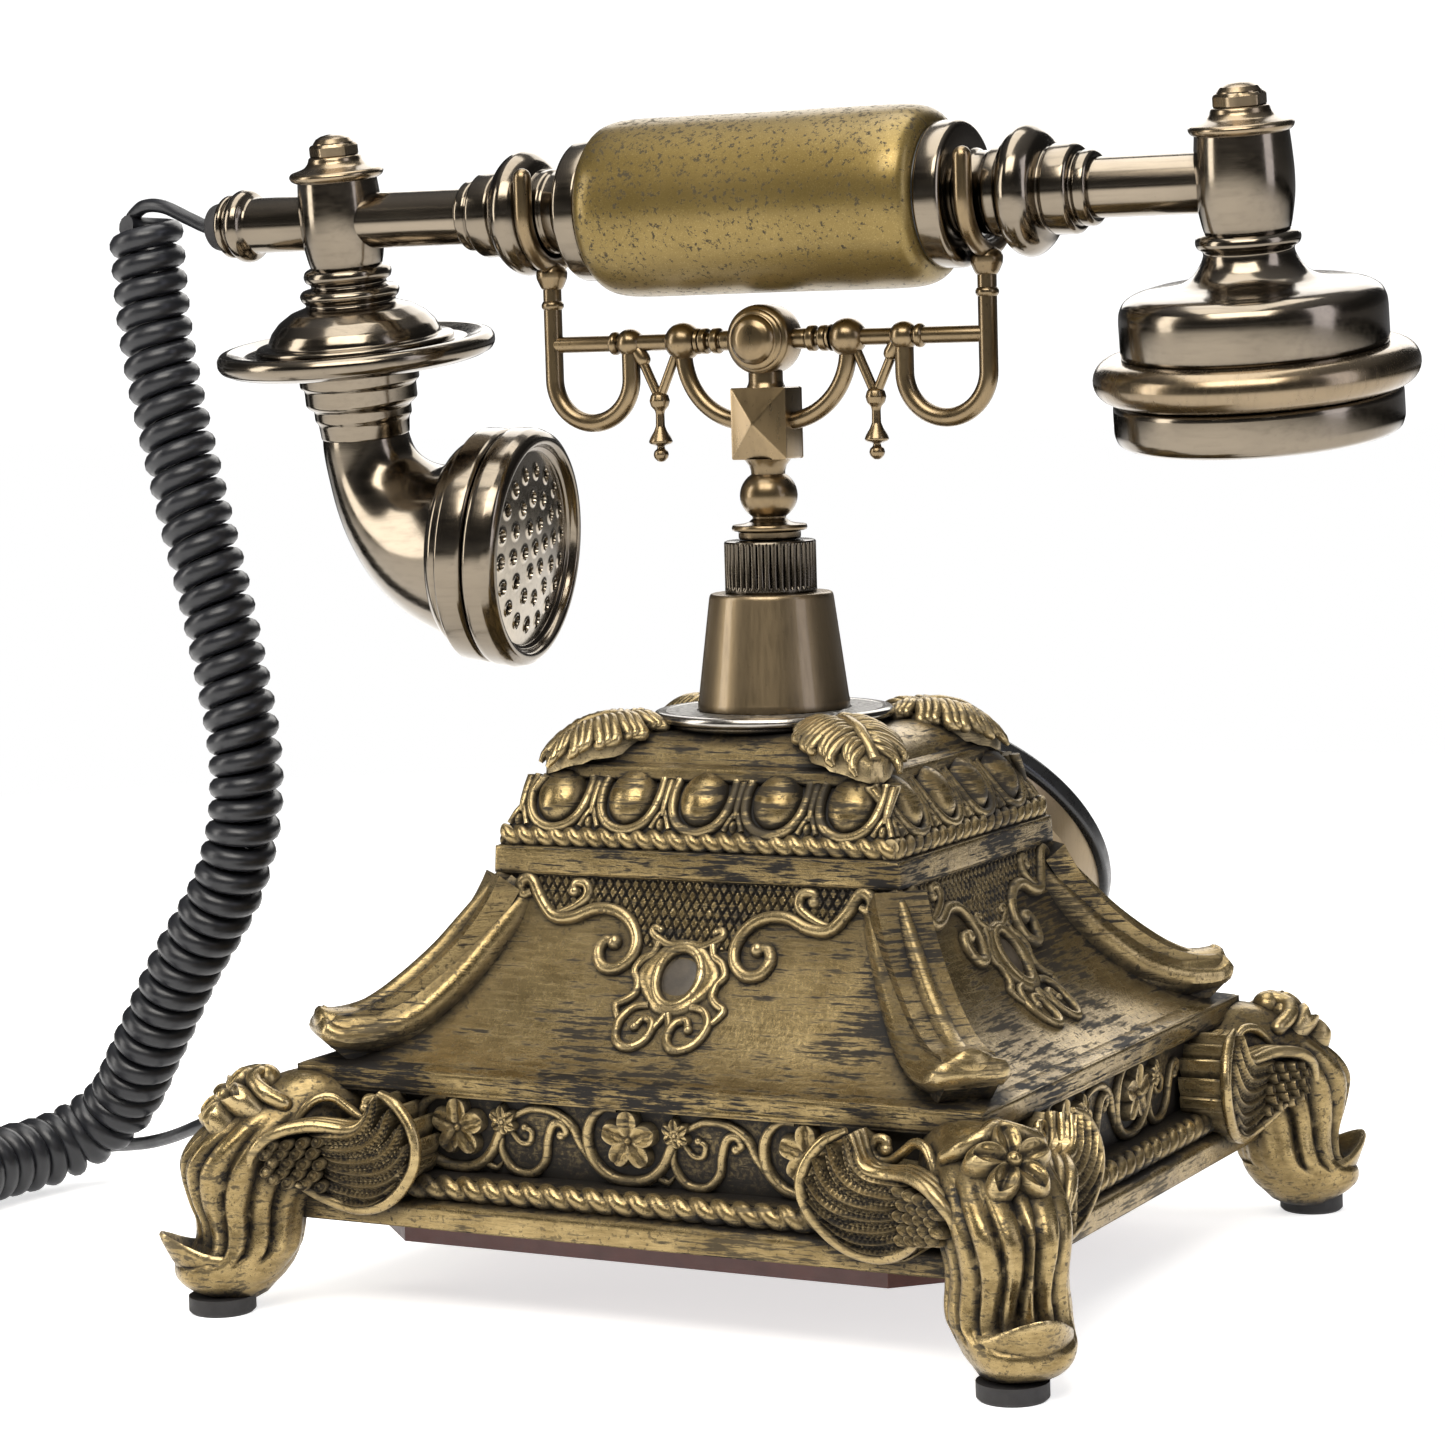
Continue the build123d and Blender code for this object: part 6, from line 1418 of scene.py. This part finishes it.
def feather(points, width, order):
    """Closed feather: a domed top with barbs, a rib and two edges over a deep flat back."""
    path = smooth_curve(points, 25)
    n = len(path)
    u = np.linspace(0, 1, n)
    gaps = np.concatenate([[0], np.cumsum(np.linalg.norm(np.diff(path, axis=0), axis=1))])
    heading = np.gradient(path, axis=0)
    heading /= np.linalg.norm(heading, axis=1)[:, None]
    side_dir = np.stack([-heading[:, 1], heading[:, 0]], 1)
    half = width * np.interp(u, [0, 0.25, 0.7, 0.92, 1], [0.7, 1.0, 1.05, 0.7, 0.15])
    across = np.linspace(-1, 1, 13)
    top, low = [], []
    for i in range(n):
        d = across * half[i]
        p = path[i] + np.outer(d, side_dir[i])
        barb = 0.22 * np.sin(2 * math.pi * (gaps[i] - 1.4 * np.abs(d)) / 1.0)
        rib = 0.8 * np.exp(-(across / 0.16) ** 2)
        edge = 0.5 * np.exp(-((np.abs(across) - 0.86) / 0.12) ** 2)
        h = 1.3 * np.sqrt(np.clip(1 - across ** 2, 0, 1)) + barb * (np.abs(across) > 0.2) * (
            np.abs(across) < 0.82) + rib + edge + 0.12 * order
        # the root rises in a quarter ellipse out of the wing's back instead of ending in a flat wall
        rise = max(0.05, math.sqrt(1 - (1 - min(gaps[i] / ROOT_LENGTH, 1.0)) ** 2))
        top.append(np.stack(wing_point(p[:, 0], p[:, 1], FEATHER_BACK + (h - FEATHER_BACK) * rise), 1))
        low.append(np.stack(wing_point(p[:, 0], p[:, 1], np.full(13, FEATHER_BACK)), 1))
    rows = [np.concatenate([t, b[::-1]]) for t, b in zip(top, low)]
    return skin(np.array(rows))


wing = []
for order, points in enumerate(FEATHERS):
    wing.append(feather(points, 1.75, 6 - order))
edge_path = smooth_curve([(72.5, 26.5, 1.6), (70.5, 31.4, 1.6), (66.4, 35.0, 1.7), (61, 36.2, 1.5),
                          (55, 35.4, 1.2), (51, 36.6, 1.1), (48.6, 41.8, 0.9)], 6)
# three rolls, one behind the other, cover the deep side of the top feather
for depth in (0.0, 1.9, 3.8):
    edge_line = np.stack(wing_point(edge_path[:, 0], edge_path[:, 1], edge_path[:, 2] - depth), 1)
    wing.append(sweep(edge_line, np.interp(np.linspace(0, 1, len(edge_line)), [0, 0.2, 0.8, 1],
                                           [0.6, 1.2, 1.2, 0.5 + 0.2 * depth]), 10))
rim_path = smooth_curve([(47.8, 42.4), (43.9, 40.5), (40.9, 37.3), (39.4, 33.6), (39.8, 29.8),
                         (42.0, 26.2), (45.3, 23.0), (49.4, 21.0), (54.4, 20.6), (59.6, 22.6),
                         (63.5, 25.4)], 6)
rim_count = len(rim_path)
rim_line = np.stack(wing_point(rim_path[:, 0], rim_path[:, 1], np.full(rim_count, 0.9)), 1)
wing.append(sweep(rim_line, 1.15 * np.interp(np.linspace(0, 1, rim_count), [0, 0.1, 0.85, 1],
                                             [0.5, 1, 1, 0.5]), 11))
for row_index in range(5):
    for column_index in range(4):
        s = 59.6 + 2.6 * column_index + 1.0 * (row_index % 2)
        z = 24.6 + 2.15 * row_index + 0.55 * column_index * (1 - 0.35 * row_index)
        if s > 69.5 or z > 34.4:
            continue
        px, py, pz = wing_point(s, z, 0.6)
        origin = np.array([px, py, pz])
        wing.append(lens((origin, unit([-0.92, 0.1, 0.35]), unit([0.3, -0.2, 0.95]),
                          unit([-0.25, 1, 0.05])), 1.75, 1.2, 0.9, 0.0, 0.75, 0.2, 1.6, 6, 16))
curl = smooth_curve([(53.4, 38.6, 0.8), (53.2, 40.2, 0.8), (51.4, 40.2, 0.8), (50.6, 38.4, 0.8),
                     (52.0, 36.8, 0.8), (54.6, 36.9, 0.8), (57.0, 38.6, 0.9), (59.6, 40.5, 1.0),
                     (62.4, 40.2, 1.0), (64.4, 38.0, 1.0), (65.2, 35.8, 1.0)], 5)
curl_line = np.stack(wing_point(curl[:, 0], curl[:, 1], curl[:, 2] - 4.6), 1)
wing.append(sweep(curl_line, 0.95, 9))
wing.append(ball(curl_line[0], 1.2, 12))


def wing_on(parts, swap):
    """Wing parts (s, out, z) on the face towards +Y, or with swap on the face towards +X."""
    made = []
    for verts, faces in parts:
        verts = np.array(verts)
        placed = np.empty_like(verts)
        if swap:
            placed[:, 0] = BASE_X + verts[:, 1]
            placed[:, 1] = verts[:, 0] - DEPTH_LESS
        else:
            placed[:, 0] = verts[:, 0]
            placed[:, 1] = BASE_Y + verts[:, 1]
        placed[:, 2] = verts[:, 2]
        made.append((placed, [f[::-1] for f in faces] if swap else faces))
    return made


golden("feet_wings_wide", at_corners(wing_on(wing, False)), GOLD_FINE, sharp=50)
golden("feet_wings_deep", at_corners(wing_on(wing, True)), GOLD_FINE, sharp=50)

# flower and scroll on the shoulder of each foot
blossom = []
centre = corner_point(79.9, 39.6)
normal = unit(DIAG * 0.72 + Z * 0.70)
up_dir = unit(Z - normal * (Z @ normal))
for k in range(5):
    c, s_ = turn(90 + 72 * k)
    direction = c * CROSS + s_ * up_dir
    across_dir = np.cross(normal, direction)
    blossom.append(lens((centre + direction * 4.1, direction, across_dir, normal), 3.9, 2.8, 1.9,
                        1.2, 0.9, 0.0, 3.4, 9, 28, 0.9))
blossom.append(lens((centre + normal * 0.4, CROSS, up_dir, normal), 1.5, 1.5, 2.2, 0, 0.3))
for flip in (-1, 1):
    blossom.append(rounded_rod(smooth_curve([
        corner_point(73.5, 39.6, flip * 8.4), corner_point(76.0, 41.8, flip * 6.6),
        corner_point(76.8, 43.4, flip * 3.4), corner_point(75.6, 44.2, flip * 1.0)], 5), 1.6, 12))
    blossom.append(ball(corner_point(76.2, 41.6, flip * 3.0), 2.4, 20))
blossom.append(ball(corner_point(74.8, 42.6), 3.2, 24))
golden("feet_blossoms", at_corners(blossom), GOLD_FINE, sharp=50)


# ------------------------------------------------------------------ floor, light and camera
floor_mesh = bpy.data.meshes.new("floor")
floor_mesh.from_pydata([(-6, -6, 0), (6, -6, 0), (6, 6, 0), (-6, 6, 0)], [], [(0, 1, 2, 3)])
floor = bpy.data.objects.new("floor", floor_mesh)
bpy.context.scene.collection.objects.link(floor)
paper = Graph("pale_floor")
away = paper.node("VectorMath", {"operation": "LENGTH"}, i0=paper.coords).outputs["Value"]
haze_seen = paper.ramp(away, 0.30, 0.90)
haze_felt = paper.ramp(away, 0.70, 1.80)
seen_here = paper.node("LightPath").outputs["Is Camera Ray"]
haze = paper.blend_numbers(seen_here, haze_felt, haze_seen)
felt_glow = paper.blend_numbers(haze_felt, 0.5, 0.0)
glow = paper.blend_numbers(seen_here, felt_glow, paper.blend_numbers(haze_seen, 0.66, 1.0))
whiteness = paper.math("SUBTRACT", 1.0, haze)
paper.put(Base_Color=paper.mix(whiteness, (0, 0, 0), paper.mix(paper.noise(8, 2), (0.88, 0.88, 0.88),
                                                             (0.92, 0.92, 0.92))),
          Roughness=0.8, Specular_IOR_Level=0.0, Emission_Color=(1, 1, 1), Emission_Strength=glow)
floor_mesh.materials.append(paper.material)

world = bpy.data.worlds.new("studio")
bpy.context.scene.world = world
world.use_nodes = True
tree = world.node_tree
tree.nodes.clear()


def world_node(kind):
    return tree.nodes.new("ShaderNode" + kind)


out = world_node("OutputWorld")
mix = world_node("MixShader")
seen = world_node("Background")
seen.inputs["Color"].default_value = (1, 1, 1, 1)
seen.inputs["Strength"].default_value = 1.15
felt = world_node("Background")
path_node = world_node("LightPath")
coords = world_node("TexCoord")
split_node = world_node("SeparateXYZ")
ramp = world_node("ValToRGB")
links = tree.links
links.new(coords.outputs["Generated"], split_node.inputs[0])
links.new(split_node.outputs["Z"], ramp.inputs["Fac"])
ramp.color_ramp.elements[0].position = 0.0
ramp.color_ramp.elements[0].color = (0.16, 0.16, 0.165, 1)
ramp.color_ramp.elements[1].position = 1.0
ramp.color_ramp.elements[1].color = (0.35, 0.36, 0.38, 1)
for position, level in ((0.12, 0.06), (0.30, 0.03), (0.55, 0.05), (0.8, 0.22)):
    element = ramp.color_ramp.elements.new(position)
    element.color = (level, level, level * 1.03, 1)
links.new(ramp.outputs["Color"], felt.inputs["Color"])
felt.inputs["Strength"].default_value = 1.0
links.new(path_node.outputs["Is Camera Ray"], mix.inputs["Fac"])
links.new(felt.outputs[0], mix.inputs[1])
links.new(seen.outputs[0], mix.inputs[2])
links.new(mix.outputs[0], out.inputs[0])


def softbox(name, place, target, width, height, power, tint=(1, 1, 1)):
    light = bpy.data.lights.new(name, "AREA")
    light.shape = "RECTANGLE"
    light.size, light.size_y, light.energy, light.color = width, height, power, tint
    obj = bpy.data.objects.new(name, light)
    obj.location = place
    obj.rotation_mode = "QUATERNION"
    obj.rotation_quaternion = (Vector(target) - Vector(place)).to_track_quat("-Z", "Y")
    bpy.context.scene.collection.objects.link(obj)
    return obj


softbox("key_top", (-0.15, 0.75, 0.95), (0, 0, 0.12), 0.9, 0.5, 11, (1, 0.96, 0.90))
softbox("overhead", (0.1, 0.0, 1.2), (0, 0, 0.1), 1.2, 0.7, 9.5, (1, 0.98, 0.95))
softbox("left_strip", (1.05, 0.65, 0.45), (0, 0, 0.12), 0.35, 1.0, 6, (1, 0.97, 0.93))
softbox("right_strip", (-1.1, 0.15, 0.5), (0, 0, 0.12), 0.4, 1.0, 3.0, (0.82, 0.84, 1))
softbox("dial_fill", (0.3, -1.0, 0.7), (0, 0, 0.08), 0.9, 0.7, 5, (1, 0.98, 0.95))

camera_data = bpy.data.cameras.new("camera")
camera = bpy.data.objects.new("camera", camera_data)
bpy.context.scene.collection.objects.link(camera)
# found from the photo's view of the base, feet and post
CAMERA_PLACE, LENS = (-0.3375, 0.6617, 0.1787), 96.455
YAW, PITCH, ROLL_TURN = 27.80, 5.64, -1.575
camera_data.sensor_width = 36.0
camera_data.lens = LENS
camera_data.clip_start, camera_data.clip_end = 0.05, 30
yaw, pitch, roll = math.radians(YAW), math.radians(PITCH), math.radians(ROLL_TURN)
back = Vector((math.sin(yaw) * math.cos(pitch), -math.cos(yaw) * math.cos(pitch),
               math.sin(pitch)))
right = Vector((math.cos(yaw), math.sin(yaw), 0))
upward = back.cross(right)
camera_right = math.cos(roll) * right + math.sin(roll) * upward
camera_up = -math.sin(roll) * right + math.cos(roll) * upward
columns = [Vector((-v.x, -v.y, v.z)) for v in (camera_right, camera_up, back)]
camera_turn = Matrix(columns).transposed().to_4x4()
camera.matrix_world = Matrix.Translation(CAMERA_PLACE) @ camera_turn
bpy.context.scene.camera = camera
bpy.context.scene.view_settings.view_transform = "Standard"
